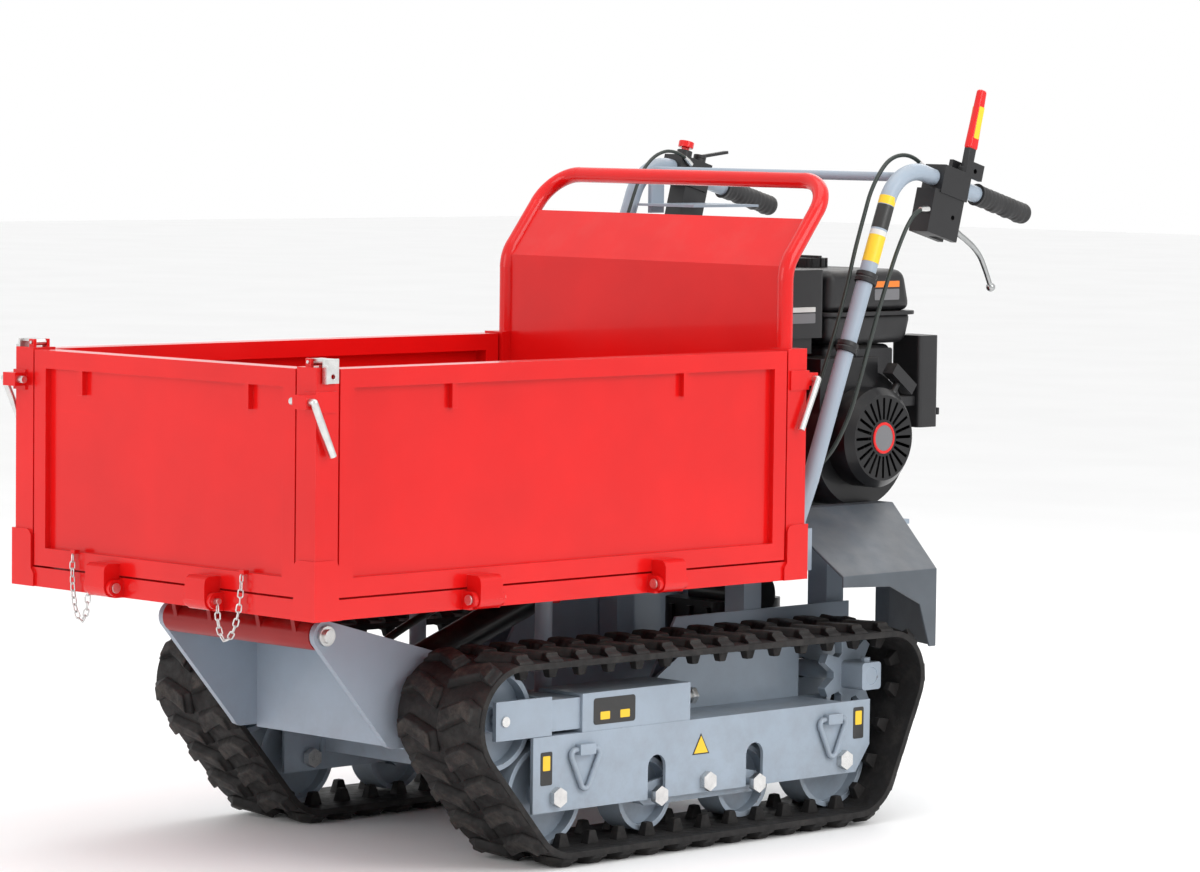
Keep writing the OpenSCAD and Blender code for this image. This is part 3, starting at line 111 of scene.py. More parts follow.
# ---------------------------------------------------------------- materials
class Graph:
    """A material's nodes, added and linked by name"""

    def __init__(self, name):
        self.material = bpy.data.materials.new(name)
        self.material.use_nodes = True
        self.tree = self.material.node_tree
        self.shader = self.tree.nodes["Principled BSDF"]
        self.place = self.add("ShaderNodeTexCoord").outputs["Object"]

    def add(self, kind, inputs=None, **settings):
        node = self.tree.nodes.new(kind)
        for key, value in settings.items():
            setattr(node, key, value)
        for key, value in (inputs or {}).items():
            if isinstance(value, bpy.types.NodeSocket):
                self.tree.links.new(value, node.inputs[key])
            else:
                node.inputs[key].default_value = value
        return node

    def noise(self, scale, detail=4.0, rough=0.55, at=None):
        return self.add("ShaderNodeTexNoise", {"Vector": at or self.place, "Scale": scale, "Detail": detail,
                                               "Roughness": rough}).outputs["Fac"]

    def stretched(self, x, y, z):
        return self.add("ShaderNodeMapping", {"Vector": self.place, "Scale": (x, y, z)}).outputs["Vector"]

    def ramp(self, value, low, high, to_low=0.0, to_high=1.0):
        return self.add("ShaderNodeMapRange", {"Value": value, "From Min": low, "From Max": high,
                                               "To Min": to_low, "To Max": to_high}).outputs["Result"]

    def times(self, a, b):
        return self.add("ShaderNodeMath", {0: a, 1: b}, operation="MULTIPLY").outputs[0]

    def plus(self, a, b):
        return self.add("ShaderNodeMath", {0: a, 1: b}, operation="ADD", use_clamp=True).outputs[0]

    def blend(self, factor, a, b):
        a, b = [(*c, 1.0) if isinstance(c, (tuple, list)) and len(c) == 3 else c for c in (a, b)]
        return self.add("ShaderNodeMix", {0: factor, 6: a, 7: b}, data_type="RGBA").outputs[2]

    def bump(self, height, distance, strength=1.0, below=None):
        inputs = {"Height": height, "Distance": distance, "Strength": strength}
        if below is not None:
            inputs["Normal"] = below
        return self.add("ShaderNodeBump", inputs).outputs["Normal"]

    def up(self):
        normal = self.add("ShaderNodeNewGeometry").outputs["Normal"]
        return self.add("ShaderNodeSeparateXYZ", {0: normal}).outputs[2]

    def height(self):
        return self.add("ShaderNodeSeparateXYZ", {0: self.place}).outputs[2]

    def set(self, **values):
        names = {"colour": "Base Color", "rough": "Roughness", "normal": "Normal", "metal": "Metallic",
                 "coat": "Coat Weight", "coat_rough": "Coat Roughness", "sheen": "Sheen Weight",
                 "ior": "IOR", "specular": "Specular IOR Level"}
        for key, value in values.items():
            socket = self.shader.inputs[names[key]]
            if isinstance(value, bpy.types.NodeSocket):
                self.tree.links.new(value, socket)
            elif key == "colour":
                socket.default_value = (*value, 1.0)
            else:
                socket.default_value = value
        return self.material


def shade(colour, factor):
    return tuple(c * factor for c in colour)


def paint(name, colour, dust, rough=0.3, coat=0.0, peel=0.00006, dusty=0.5, muddy=0.5, chips=0.0, under=None):
    """Sprayed paint: slight mottling, orange peel, dust on top faces, dirt low down, chips on edges"""
    g = Graph(name)
    mottle = g.ramp(g.noise(5.0, 3.0), 0.35, 0.7)
    base = g.blend(mottle, shade(colour, 0.93), shade(colour, 1.06))
    patches = g.ramp(g.noise(17.0, 6.0, 0.65), 0.45, 0.75)
    dust_amount = g.times(g.times(g.ramp(g.up(), 0.2, 0.95), patches), dusty)
    base = g.blend(dust_amount, base, tuple(dust))
    low = g.times(g.times(g.ramp(g.height(), 0.34, 0.02), g.ramp(g.noise(26.0, 8.0, 0.7), 0.4, 0.72)), muddy)
    base = g.blend(low, base, shade(dust, 0.42))
    scuffs = g.ramp(g.noise(1.0, 9.0, 0.7, g.stretched(3.0, 240.0, 30.0)), 0.66, 0.74)
    base = g.blend(g.times(scuffs, 0.10), base, shade(colour, 1.5))
    if chips:
        chipped = g.ramp(g.noise(90.0, 5.0, 0.7), 0.66 - 0.1 * chips, 0.70 - 0.1 * chips)
        base = g.blend(g.times(chipped, 0.8), base, tuple(under or (0.16, 0.12, 0.10)))
    roughness = g.plus(g.plus(g.ramp(g.noise(11.0, 5.0), 0.3, 0.7, rough * 0.85, rough * 1.2),
                              g.times(dust_amount, 0.35)), g.times(low, 0.4))
    fine = g.bump(g.noise(420.0, 2.0), peel)
    normal = g.bump(g.noise(7.0, 2.0), 0.0012, 0.35, fine)
    return g.set(colour=base, rough=roughness, normal=normal, coat=coat, coat_rough=0.05, specular=0.28)


def moulding(name, colour, rough=0.48, grain=650.0, depth=0.00012, dust=(0.4, 0.36, 0.32), dusty=0.25):
    """Moulded plastic or textured black paint with a fine grain"""
    g = Graph(name)
    tone = g.ramp(g.noise(9.0, 4.0), 0.35, 0.7)
    base = g.blend(tone, shade(colour, 0.85), shade(colour, 1.2))
    top = g.times(g.times(g.ramp(g.up(), 0.3, 1.0), g.ramp(g.noise(22.0, 6.0), 0.4, 0.8)), dusty)
    base = g.blend(top, base, dust)
    roughness = g.plus(g.ramp(g.noise(30.0, 5.0), 0.3, 0.7, rough * 0.85, rough * 1.15), g.times(top, 0.3))
    cells = g.add("ShaderNodeTexVoronoi", {"Vector": g.place, "Scale": grain}).outputs["Distance"]
    return g.set(colour=base, rough=roughness, normal=g.bump(cells, depth, 0.7))


def metal(name, colour, rough=0.32, brushed=(4.0, 4.0, 4.0), stain=(0.30, 0.22, 0.15), stained=0.2):
    """Plated or bare steel: cloudy tone, fine marks and a little stain"""
    g = Graph(name)
    cloud = g.ramp(g.noise(60.0, 5.0, 0.6), 0.3, 0.7)
    base = g.blend(cloud, shade(colour, 0.82), shade(colour, 1.05))
    marks = g.ramp(g.noise(120.0, 6.0, 0.75), 0.58, 0.72)
    base = g.blend(g.times(marks, stained), base, stain)
    lines = g.noise(220.0, 3.0, 0.6, g.stretched(*brushed))
    roughness = g.plus(g.ramp(lines, 0.3, 0.7, rough * 0.8, rough * 1.25), g.times(marks, 0.3 * stained))
    return g.set(colour=base, metal=1.0, rough=roughness, normal=g.bump(lines, 0.00008, 0.5))


def rubber(name, colour, worn, dust, grain=380.0):
    """Track rubber: dull, dusty in the hollows, rubbed paler and browner towards the lugs' tips"""
    g = Graph(name)
    tip = g.add("ShaderNodeAttribute", attribute_name="tip", attribute_type="GEOMETRY").outputs["Fac"]
    base = g.blend(g.ramp(g.noise(40.0, 6.0, 0.7), 0.35, 0.7), shade(colour, 0.7), shade(colour, 1.5))
    rubbed = g.times(g.ramp(tip, 0.75, 1.0), g.ramp(g.noise(55.0, 8.0, 0.75), 0.45, 0.66))
    base = g.blend(g.times(rubbed, 0.7), base, worn)
    dirt = g.times(g.ramp(g.noise(21.0, 7.0, 0.72), 0.5, 0.72), 0.14)
    base = g.blend(dirt, base, shade(dust, 0.35))
    roughness = g.ramp(g.noise(70.0, 4.0), 0.3, 0.7, 0.55, 0.82)
    pits = g.bump(g.noise(grain, 4.0, 0.7), 0.0004, 0.7)
    normal = g.bump(g.noise(60.0, 3.0), 0.0012, 0.5, pits)
    return g.set(colour=base, rough=roughness, normal=normal, specular=0.35)


def plain_patch(name, colour, rough=0.35):
    """Printed film with a slight ripple and rubbed places"""
    g = Graph(name)
    rub = g.ramp(g.noise(140.0, 6.0, 0.7), 0.6, 0.72)
    base = g.blend(g.times(rub, 0.25), tuple(colour), shade(colour, 0.55))
    return g.set(colour=base, rough=g.ramp(g.noise(80.0, 3.0), 0.3, 0.7, rough * 0.8, rough * 1.2),
                 normal=g.bump(g.noise(90.0, 2.0), 0.0002, 0.3))


FINISH = {}


def finish_of(name):
    """Makes each finish once"""
    if name in FINISH:
        return FINISH[name]
    p = bpy.context.scene.barrow_paint
    red, grey, black, rub, dust = [tuple(getattr(p, k)) for k in
                                   ("box_red", "frame_grey", "engine_black", "rubber_black", "dust")]
    worn_rubber, bare_iron = (0.075, 0.062, 0.052), (0.2, 0.2, 0.2)
    makers = {
        "red_paint": lambda: paint("Red box paint", red, dust, 0.22, 0.22, 0.00004, 0.06, 0.2),
        "red_edge": lambda: paint("Red paint on edges", shade(red, 1.06), dust,
                                  0.26, 0.3, 0.00005, 0.2, 0.3, 0.35),
        # dark_red is the box red darkened to 0.42 as painted shade for the faces under the front of the box
        "dark_red": lambda: paint("Red paint underneath", shade(red, 0.42), dust,
                                  0.38, 0.1, 0.00006, 0.3, 0.5),
        "grey_paint": lambda: paint("Grey frame paint", grey, dust, 0.36, 0.15, 0.00006, 0.30, 0.35),
        "grey_edge": lambda: paint("Grey paint on edges", shade(grey, 1.15), dust,
                                   0.36, 0.1, 0.00006, 0.3, 0.4, 0.5),
        "grey_moulded": lambda: moulding("Grey moulded cover", shade(grey, 0.21),
                                         0.40, 500.0, 0.00008, dust, 0.12),
        "black_paint": lambda: paint("Black engine paint", black, dust, 0.34, 0.2, 0.00005, 0.12, 0.2),
        "black_edge": lambda: paint("Black paint on edges", shade(black, 2.2), dust,
                                    0.34, 0.1, 0.00005, 0.15, 0.2, 0.2, bare_iron),
        "black_plastic": lambda: moulding("Black moulding", shade(black, 1.3), 0.45),
        "cast_dark": lambda: moulding("Sand cast engine", shade(black, 1.8), 0.55, 300.0, 0.0003, dust, 0.2),
        "zinc": lambda: metal("Zinc plated steel", (0.70, 0.70, 0.69), 0.30),
        "chrome": lambda: metal("Bright chrome", (0.40, 0.41, 0.41), 0.16, stained=0.15),
        "bare_steel": lambda: metal("Heat stained steel", (0.38, 0.35, 0.32), 0.45, stained=0.6),
        "track_rubber": lambda: rubber("Track rubber", rub, worn_rubber, dust),
        "grip_rubber": lambda: moulding("Grip rubber", (0.018, 0.018, 0.019),
                                        0.62, 900.0, 0.0002, dust, 0.2),
        "cable_black": lambda: moulding("Cable sheath", (0.012, 0.020, 0.016),
                                        0.40, 1400.0, 0.00006, dust, 0.1),
        "red_plastic": lambda: paint("Red lever plastic", shade(red, 1.05), dust,
                                     0.26, 0.3, 0.00004, 0.1, 0.0),
        "yellow": lambda: plain_patch("Plain yellow patch", (0.85, 0.55, 0.02)),
        "black_patch": lambda: plain_patch("Plain black patch", (0.02, 0.02, 0.02)),
        "orange": lambda: plain_patch("Plain orange patch", (0.85, 0.22, 0.02)),
        "pale": lambda: plain_patch("Plain pale patch", (0.62, 0.62, 0.60)),
        "dull_patch": lambda: plain_patch("Plain dull patch", (0.16, 0.16, 0.17)),
        "alloy": lambda: metal("Cast alloy", (0.50, 0.49, 0.47), 0.42),
    }
    FINISH[name] = makers[name]()
    return FINISH[name]


# ---------------------------------------------------------------- modelling helpers
def clear():
    """Leaves edit mode and deselects everything"""
    if bpy.context.object and bpy.context.object.mode != "OBJECT":
        bpy.ops.object.mode_set(mode="OBJECT")
    bpy.ops.object.select_all(action="DESELECT")


def only(obj):
    """Makes obj the one selected and active object"""
    clear()
    obj.select_set(True)
    bpy.context.view_layer.objects.active = obj
    return obj


def edit(mode="FACE", action="SELECT"):
    """Starts edit mode with everything selected, or nothing"""
    bpy.ops.object.mode_set(mode="EDIT")
    bpy.ops.mesh.select_mode(type=mode)
    bpy.ops.mesh.select_all(action=action)


def pick_edges(obj, test):
    """Selects the edges that pass test, in edit mode"""
    edit("EDGE", "DESELECT")
    bpy.ops.object.mode_set(mode="OBJECT")
    for e in obj.data.edges:
        e.select = bool(test(e))
    bpy.ops.object.mode_set(mode="EDIT")


def face_outwards():
    """Turns every face outwards and leaves edit mode"""
    bpy.ops.mesh.select_all(action="SELECT")
    bpy.ops.mesh.normals_make_consistent(inside=False)
    bpy.ops.object.mode_set(mode="OBJECT")


def rounded(obj, width, segments=2, angle=38.0, edge_slot=None):
    """Rounds the sharp edges and shades the rest smooth"""
    only(obj)
    m = obj.modifiers.new("Edges", "BEVEL")
    m.width, m.segments, m.limit_method, m.angle_limit = width, segments, "ANGLE", math.radians(angle)
    if edge_slot is not None:
        m.material = edge_slot
    bpy.ops.object.modifier_apply(modifier=m.name)
    bpy.ops.object.shade_smooth_by_angle(angle=math.radians(32))
    flat = obj.modifiers.new("Flat faces", "WEIGHTED_NORMAL")
    flat.keep_sharp = True
    bpy.ops.object.modifier_apply(modifier=flat.name)


def settle(obj, body, finish, slot=None, *nodes):
    """Puts the object's place in its mesh, gives it its finish and lets it ride on its body"""
    only(obj)
    bpy.ops.object.transform_apply(location=True, rotation=True, scale=True)
    if finish is not None and not obj.data.materials:
        obj.data.materials.append(finish_of(finish))
    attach(obj, body)
    if nodes:
        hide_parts(*nodes)
    return obj


def join(name, parts):
    clear()
    for o in parts:
        o.select_set(True)
    bpy.context.view_layer.objects.active = parts[0]
    if len(parts) > 1:
        bpy.ops.object.join()
    obj = bpy.context.view_layer.objects.active
    obj.name = name
    return obj


def cube(name, low, high):
    clear()
    centre = [(a + b) / 2 for a, b in zip(low, high)]
    bpy.ops.mesh.primitive_cube_add(size=1, location=centre)
    obj = bpy.context.object
    obj.name = name
    obj.scale = [b - a for a, b in zip(low, high)]
    bpy.ops.object.transform_apply(location=True, rotation=True, scale=True)
    return obj


def turned(name, profile, vertices=48):
    """Turns a profile of (radius, height) pairs about Z by extruding ring after ring"""
    clear()
    r0, z0 = profile[0]
    bpy.ops.mesh.primitive_circle_add(vertices=vertices, radius=r0, fill_type="NGON", location=(0, 0, z0))
    obj = bpy.context.object
    obj.name = name
    edit()
    last = r0, z0
    for r, z in profile[1:]:
        bpy.ops.mesh.extrude_region_move(TRANSFORM_OT_translate={"value": (0, 0, z - last[1])})
        k = r / last[0]
        bpy.ops.transform.resize(value=(k, k, 1))
        last = r, z
    face_outwards()
    only(obj)
    bpy.ops.object.transform_apply(location=True, rotation=True, scale=True)
    return obj


def moved(obj, matrix):
    """Moves the mesh itself by a matrix"""
    obj.data.transform(matrix)
    obj.data.update()
    return obj


def copy_of(obj, name, matrix):
    new = bpy.data.objects.new(name, obj.data.copy())
    bpy.context.scene.collection.objects.link(new)
    return moved(new, matrix)


def aim(direction, up=(0, 0, 1)):
    """Rotation that turns +Z to a direction"""
    w = Vector(direction).normalized()
    s = Vector(up).cross(w)
    if s.length < 1e-6:
        s = Vector((1, 0, 0))
    s.normalize()
    t = w.cross(s)
    return Matrix(((s.x, t.x, w.x, 0), (s.y, t.y, w.y, 0), (s.z, t.z, w.z, 0), (0, 0, 0, 1)))


def at(x, y, z):
    """A place from the drawing, in mm from the front of the box, in the model's frame"""
    return Vector((x / 1000, y / 1000 - MIDDLE, z / 1000))


def on_leg(x, u, w):
    """A place beside the left grip's tube: u mm along it and w mm above it"""
    return at(LEG_X + x, LEG_Y + LEG_RUN * u + LEG_FALL * w, LEG_Z - LEG_FALL * u + LEG_RUN * w)


def sideways(spot):
    """Place of a turned piece whose axis lies across the machine"""
    return Matrix.Translation(spot) @ Matrix.Rotation(math.radians(90), 4, "Y")


def swept(name, points, radii, sides=16, side=(1, 0, 0)):
    """Sweeps an oval along points; radii are (across, over) pairs or one number"""
    points = [Vector(q) for q in points]
    clear()
    bpy.ops.mesh.primitive_circle_add(vertices=sides, radius=1, fill_type="NGON")
    obj = bpy.context.object
    obj.name = name
    edit()
    for _ in points[1:]:
        bpy.ops.mesh.extrude_region_move(TRANSFORM_OT_translate={"value": (0, 0, 1)})
    bpy.ops.object.mode_set(mode="OBJECT")
    rings = []
    across = Vector(side)
    for k, q in enumerate(points):
        along = (points[min(k + 1, len(points) - 1)] - points[max(k - 1, 0)]).normalized()
        across = (across - across.dot(along) * along).normalized()
        r = radii[k] if isinstance(radii, (list, tuple)) and isinstance(radii[0], (list, tuple)) else radii
        r = r if isinstance(r, (list, tuple)) else (r, r)
        rings.append((q, across.copy() * r[0], along.cross(across) * r[1]))
    for v in obj.data.vertices:
        q, a, b = rings[round(v.co.z)]
        v.co = q + a * v.co.x + b * v.co.y
    only(obj)
    edit()
    face_outwards()
    bpy.ops.object.shade_smooth_by_angle(angle=math.radians(50))
    return obj


def smooth(points, steps=5):
    """Points of an even curve through the given ones"""
    points = [Vector(q) for q in points]
    ends = [points[0], *points, points[-1]]
    curve = []
    for a, b, c, d in zip(ends, ends[1:], ends[2:], ends[3:]):
        for k in range(steps):
            t = k / steps
            curve.append(0.5 * (2 * b + (c - a) * t + (2 * a - 5 * b + 4 * c - d) * t * t
                                + (3 * b - a - 3 * c + d) * t ** 3))
    return curve + [points[-1]]


def shaped(name, low, high, corner, rim=0.0012, axis=None, taper=None):
    """A box with rounded corners: corner rounds the edges along axis, or all of them, rim the rest"""
    obj = cube(name, low, high)
    if taper:
        taper(obj)
    only(obj)
    if axis is not None:
        corners = obj.data.vertices
        pick_edges(obj, lambda e: abs((corners[e.vertices[0]].co - corners[e.vertices[1]].co)
                                      .normalized()[axis]) > 0.9)
        bpy.ops.mesh.bevel(offset=corner, segments=5, affect="EDGES")
        bpy.ops.object.mode_set(mode="OBJECT")
        rounded(obj, rim, 2, 30.0)
    else:
        rounded(obj, corner, 4, 30.0)
    return obj


def patch(name, centre, wide, high, finish, thick=0.0005):
    """A plain stuck-on patch that faces sideways"""
    c = Vector(centre)
    half = Vector((thick / 2, wide / 2, high / 2))
    obj = shaped(name, c - half, c + half, min(wide, high) * 0.12, 0.0001, 0)
    return settle(obj, "machine", finish)


EDGE_FINISH = {"red_paint": "red_edge", "grey_paint": "grey_edge", "black_paint": "black_edge"}


def carry(node, finish, edge=None, slot=None, angle=38.0):
    """Carries a CAD solid over: a welded copy with its edges rounded and its finish on"""
    source = frame["nodes"][node]
    obj = bpy.data.objects.new(node + "_finished", source.data.copy())
    bpy.context.scene.collection.objects.link(obj)
    obj.data.materials.clear()
    obj.data.materials.append(finish_of(finish))
    only(obj)
    edit("VERT")
    bpy.ops.mesh.remove_doubles(threshold=0.00001)
    bpy.ops.mesh.dissolve_limited(angle_limit=math.radians(0.5))
    bpy.ops.object.mode_set(mode="OBJECT")
    if obj.data.has_custom_normals:
        bpy.ops.mesh.customdata_custom_splitnormals_clear()
    edge_slot = None
    if finish in EDGE_FINISH:
        obj.data.materials.append(finish_of(EDGE_FINISH[finish]))
        edge_slot = 1
    rounded(obj, edge or bpy.context.scene.barrow_sizes.edge, 2, angle, edge_slot)
    return settle(obj, BODY_OF[node], None, slot, node)


def tint(obj, finish, test):
    """Gives the faces whose middle passes test another finish"""
    obj.data.materials.append(finish_of(finish))
    slot = len(obj.data.materials) - 1
    for face in obj.data.polygons:
        if test(face.center):
            face.material_index = slot


SLOT_OF = {s["node"]: s["material_slot"] for s in frame["record"]["subparts"]}


def carry_all(nodes, edge=None):
    for node in nodes:
        slot = SLOT_OF[node]
        carry(node, slot, edge, slot)


# ---------------------------------------------------------------- tracks
TRACK_WIDTH, BELT, LUG, LINKS, GUIDE = 0.180, 0.010, 0.0132, 37, 0.020
WHEEL_R, SPROCKET_R = 0.078, 0.066
# Shares of a pitch by which the outer lugs, inner lugs and guides are offset, and the guides' place across
NEAR_LUG, FAR_LUG, GUIDE_AT, GUIDE_ACROSS = 0.62, 1.12, 0.54, 0.0385


def track_path(side):
    """Circles (y, z, radius) that the belt's inner face runs round"""
    def circle(axle, r):
        p = AXLES[f"{axle}_{side}_spin"]
        return p.y, p.z, r
    return [circle("front_wheel", WHEEL_R), circle("rear_wheel", WHEEL_R), circle("sprocket", SPROCKET_R),
            circle("idler", WHEEL_R)]


class Path:
    """The closed way of the belt, walked by its length at the pitch line"""

    def __init__(self, circles):
        self.c = circles
        self.n = len(circles)
        self.leave = [self._angle(i) for i in range(self.n)]
        self.spans = []
        for i in range(self.n):
            r = circles[i][2] + BELT / 2
            turn = (self.leave[i] - self.leave[i - 1]) % (2 * math.pi)
            p, q = circles[i], circles[(i + 1) % self.n]
            d = math.hypot(q[0] - p[0], q[1] - p[1])
            self.spans.append((r * turn, math.sqrt(d * d - (p[2] - q[2]) ** 2)))
        self.length = sum(a + b for a, b in self.spans)

    def _angle(self, i):
        p, q = self.c[i], self.c[(i + 1) % self.n]
        dy, dz = q[0] - p[0], q[1] - p[1]
        return math.atan2(dz, dy) - math.acos((p[2] - q[2]) / math.hypot(dy, dz))

    def at(self, s):
        """Point on the inner face and the outward angle at length s"""
        s %= self.length
        for i in range(self.n):
            arc, straight = self.spans[i]
            y, z, r = self.c[i]
            if s < arc:
                a = self.leave[i - 1] + s / (r + BELT / 2)
                return y + r * math.cos(a), z + r * math.sin(a), a
            s -= arc
            if s < straight:
                a = self.leave[i]
                return y + r * math.cos(a) - s * math.sin(a), z + r * math.sin(a) + s * math.cos(a), a
            s -= straight
        return self.at(0)

    def frame(self, s, x):
        """Matrix whose X runs along the belt, Y across it and Z outwards"""
        y, z, a = self.at(s)
        out = Vector((0, math.cos(a), math.sin(a)))
        along = Vector((0, -math.sin(a), math.cos(a)))
        across = out.cross(along)
        return Matrix(((along.x, across.x, out.x, x), (along.y, across.y, out.y, y),
                       (along.z, across.z, out.z, z), (0, 0, 0, 1)))


def set_tip(obj, low, high):
    """Writes how far each point stands towards the lug's tip, for the wear"""
    layer = obj.data.attributes.new("tip", "FLOAT", "POINT")
    shares = [(v.co.z - low) / (high - low) for v in obj.data.vertices]
    layer.data.foreach_set("value", [min(1.0, max(0.0, t)) for t in shares])


def lug_model(width, sweep, rounding):
    """One swept lug, drawn with X along the belt, Y across it from 0 to width and Z outwards"""
    obj = cube("lug", (-0.0185, 0, BELT - 0.0025), (0.0185, width, BELT + LUG))
    edit()
    bpy.ops.mesh.subdivide(number_cuts=2)
    bpy.ops.object.mode_set(mode="OBJECT")
    for v in obj.data.vertices:
        t = v.co.y / width
        up = (v.co.z - BELT) / LUG
        lean = sweep * (math.cos(t * math.pi * 1.5))
        narrow = 1.0 - 0.28 * max(0.0, up)
        v.co.x = v.co.x * narrow * (1.0 - 0.16 * t) + lean
        if up > 0.5 and (t < 0.01 or t > 0.99):
            v.co.y += 0.007 if t < 0.01 else -0.010
        if up > 0.9 and 0.2 < t < 0.8:
            v.co.z -= 0.0008
    rounded(obj, rounding, 2, 30.0)
    set_tip(obj, BELT, BELT + LUG)
    return obj


def guide_model():
    obj = cube("guide", (-0.0125, -0.0085, -GUIDE), (0.0125, 0.0085, 0.001))
    only(obj)
    for v in obj.data.vertices:
        if v.co.z < -0.01:
            v.co.x *= 0.52
            v.co.y *= 0.72
    rounded(obj, 0.002, 2, 30.0)
    set_tip(obj, 1.0, 2.0)
    return obj


class BARROW_OT_tracks(bpy.types.Operator):
    """Builds both rubber tracks with their lugs and inner guides"""

    bl_idname = "barrow.tracks"
    bl_label = "Tracks"

    def execute(self, context):
        s = context.scene.barrow_sizes
        lug = lug_model(TRACK_WIDTH / 2 - 0.006, s.lug_sweep, s.lug_round)
        guide = guide_model()
        for side, _ in SIDES:
            path = Path(track_path(side))
            x = AXLES[f"sprocket_{side}_spin"].x
            count = LINKS * 8
            clear()
            bpy.ops.mesh.primitive_circle_add(vertices=count, radius=1)
            band = bpy.context.object
            for k, v in enumerate(band.data.vertices):
                v.co = (x - TRACK_WIDTH / 2, *path.at(path.length * k / count)[:2])
            edit("EDGE")
            bpy.ops.mesh.extrude_region_move(TRANSFORM_OT_translate={"value": (TRACK_WIDTH, 0, 0)})
            face_outwards()
            wall = band.modifiers.new("Wall", "SOLIDIFY")
            wall.thickness, wall.offset = BELT, 1.0
            bpy.ops.object.modifier_apply(modifier=wall.name)
            low = min(v.co.z for v in band.data.vertices)
            if low > LUG + BELT / 2:
                raise RuntimeError("the belt's wall went inwards")
            rounded(band, 0.0018, 2, 50.0)
            band.data.attributes.new("tip", "FLOAT", "POINT")
            parts = [band]
            pitch = path.length / LINKS
            for k in range(LINKS):
                near = (path.frame((k + NEAR_LUG) * pitch, x) @ Matrix.Translation((0, -0.004, 0))
                        @ Matrix.Scale(-1, 4, (0, 1, 0)))
                far = path.frame((k + FAR_LUG) * pitch, x) @ Matrix.Translation((0, 0.004, 0))
                for m in (near, far):
                    piece = copy_of(lug, "lug_copy", m)
                    if m.determinant() < 0:
                        piece.data.flip_normals()
                    parts.append(piece)
                for offset in (-GUIDE_ACROSS, GUIDE_ACROSS):
                    place = path.frame((k + GUIDE_AT) * pitch, x + offset)
                    parts.append(copy_of(guide, "guide_copy", place))
            track = join(f"rubber_track_{side}", parts)
            track.data.materials.clear()
            settle(track, "machine", "track_rubber", "track_rubber", f"track_belt_{side}")
        for o in (lug, guide):
            bpy.data.objects.remove(o)
        return {"FINISHED"}


# ---------------------------------------------------------------- undercarriage
class BARROW_OT_undercarriage(bpy.types.Operator):
    """Finishes the roller frames, wheels, sprockets and what carries them"""

    bl_idname = "barrow.undercarriage"
    bl_label = "Undercarriage"

    def execute(self, context):
        names = ("roller_frame", "front_wheel", "rear_wheel", "roller_a", "roller_b", "idler", "sprocket",
                 "bogie_rocker", "idler_fork", "lifting_rings")
        carry_all([f"{n}_{side}" for n in names for side, _ in SIDES])
        for side, _ in SIDES:
            tint(bpy.data.objects[f"bogie_rocker_{side}_finished"], "zinc", lambda c: abs(c.x) > 0.3312)
            pin = AXLES[f"idler_{side}_spin"]
            tint(bpy.data.objects[f"idler_fork_{side}_finished"], "zinc",
                 lambda c: math.hypot(c.y - pin.y, c.z - pin.z) < 0.0125 and abs(c.x) > 0.3305)
        carry_all(["axle_bolts"], 0.0006)
        carry_all(["chassis_frame", "gearbox", "hydraulic_pump"])
        carry("rear_cover", "grey_moulded", 0.0016, SLOT_OF["rear_cover"])
        carry_all(["ram_barrel", "ram_rod"])
        for side, sign in SIDES:
            self.patches(side, sign)
        return {"FINISHED"}

    def patches(self, side, sign):
        """Plain patches on the roller frame and the tensioner sleeve"""
        x = at(FRAME_FACE, 0, 0).x * sign
        proud = x + 0.0003 * sign
        for name, y, z in (("front", 468, 146), ("rear", 1153, 158)):
            y = at(0, y, 0).y
            patch(f"frame_patch_{name}_{side}", (x, y, z / 1000), 0.024, 0.050, "black_patch")
            patch(f"frame_mark_{name}_{side}", (proud, y, z / 1000 + 0.008), 0.015, 0.022, "yellow")
        spot = at(FRAME_FACE, 796, 150)
        quarter = math.radians(90 * sign)
        warn = turned(f"frame_triangle_{side}", [(0.0215, -0.0003), (0.0215, 0.0002), (0.0205, 0.0003)], 3)
        moved(warn, Matrix.Translation((spot.x * sign, spot.y, spot.z)) @ Matrix.Rotation(quarter, 4, "Y")
              @ Matrix.Rotation(quarter, 4, "Z"))
        settle(warn, "machine", "black_patch")
        inner = copy_of(warn, f"frame_triangle_inner_{side}", Matrix.Translation(
            (0.0004 * sign, spot.y * 0.18, spot.z * 0.18)) @ Matrix.Diagonal((1, 0.82, 0.82, 1)))
        inner.data.materials.clear()
        settle(inner, "machine", "yellow")
        x = at(SLEEVE_FACE, 0, 0).x * sign
        patch(f"sleeve_patch_{side}", (x, at(0, 610, 0).y, 0.223), 0.088, 0.040, "black_patch")
        for k, y in enumerate((590, 632)):
            patch(f"sleeve_mark_{side}_{k}", (x + 0.0003 * sign, at(0, y, 0).y, 0.216), 0.020, 0.012, "yellow")


# ---------------------------------------------------------------- cargo box
class BARROW_OT_cargo_box(bpy.types.Operator):
    """Finishes the box, its panels, the headboard and the latches"""

    bl_idname = "barrow.cargo_box"
    bl_label = "Cargo box"

    def execute(self, context):
        carry_all(["bed_frame", "headboard", "tailgate", "side_panel_left", "side_panel_right"])
        # The bed's faces low under the front of the box, round the pivot tube, take dark_red: the same red
        # darkened as painted shade
        tint(bpy.data.objects["bed_frame_finished"], "dark_red",
             lambda c: c.z < 0.396 and c.y < at(0, 215, 0).y and abs(c.x) < 0.17)
        carry_all(["corner_hook_left", "corner_hook_right", "hinge_pins"], 0.0005)
        carry_all([f"slide_bolt_{e}_{s}" for e in ("front", "rear") for s, _ in SIDES], 0.0005)
        return {"FINISHED"}


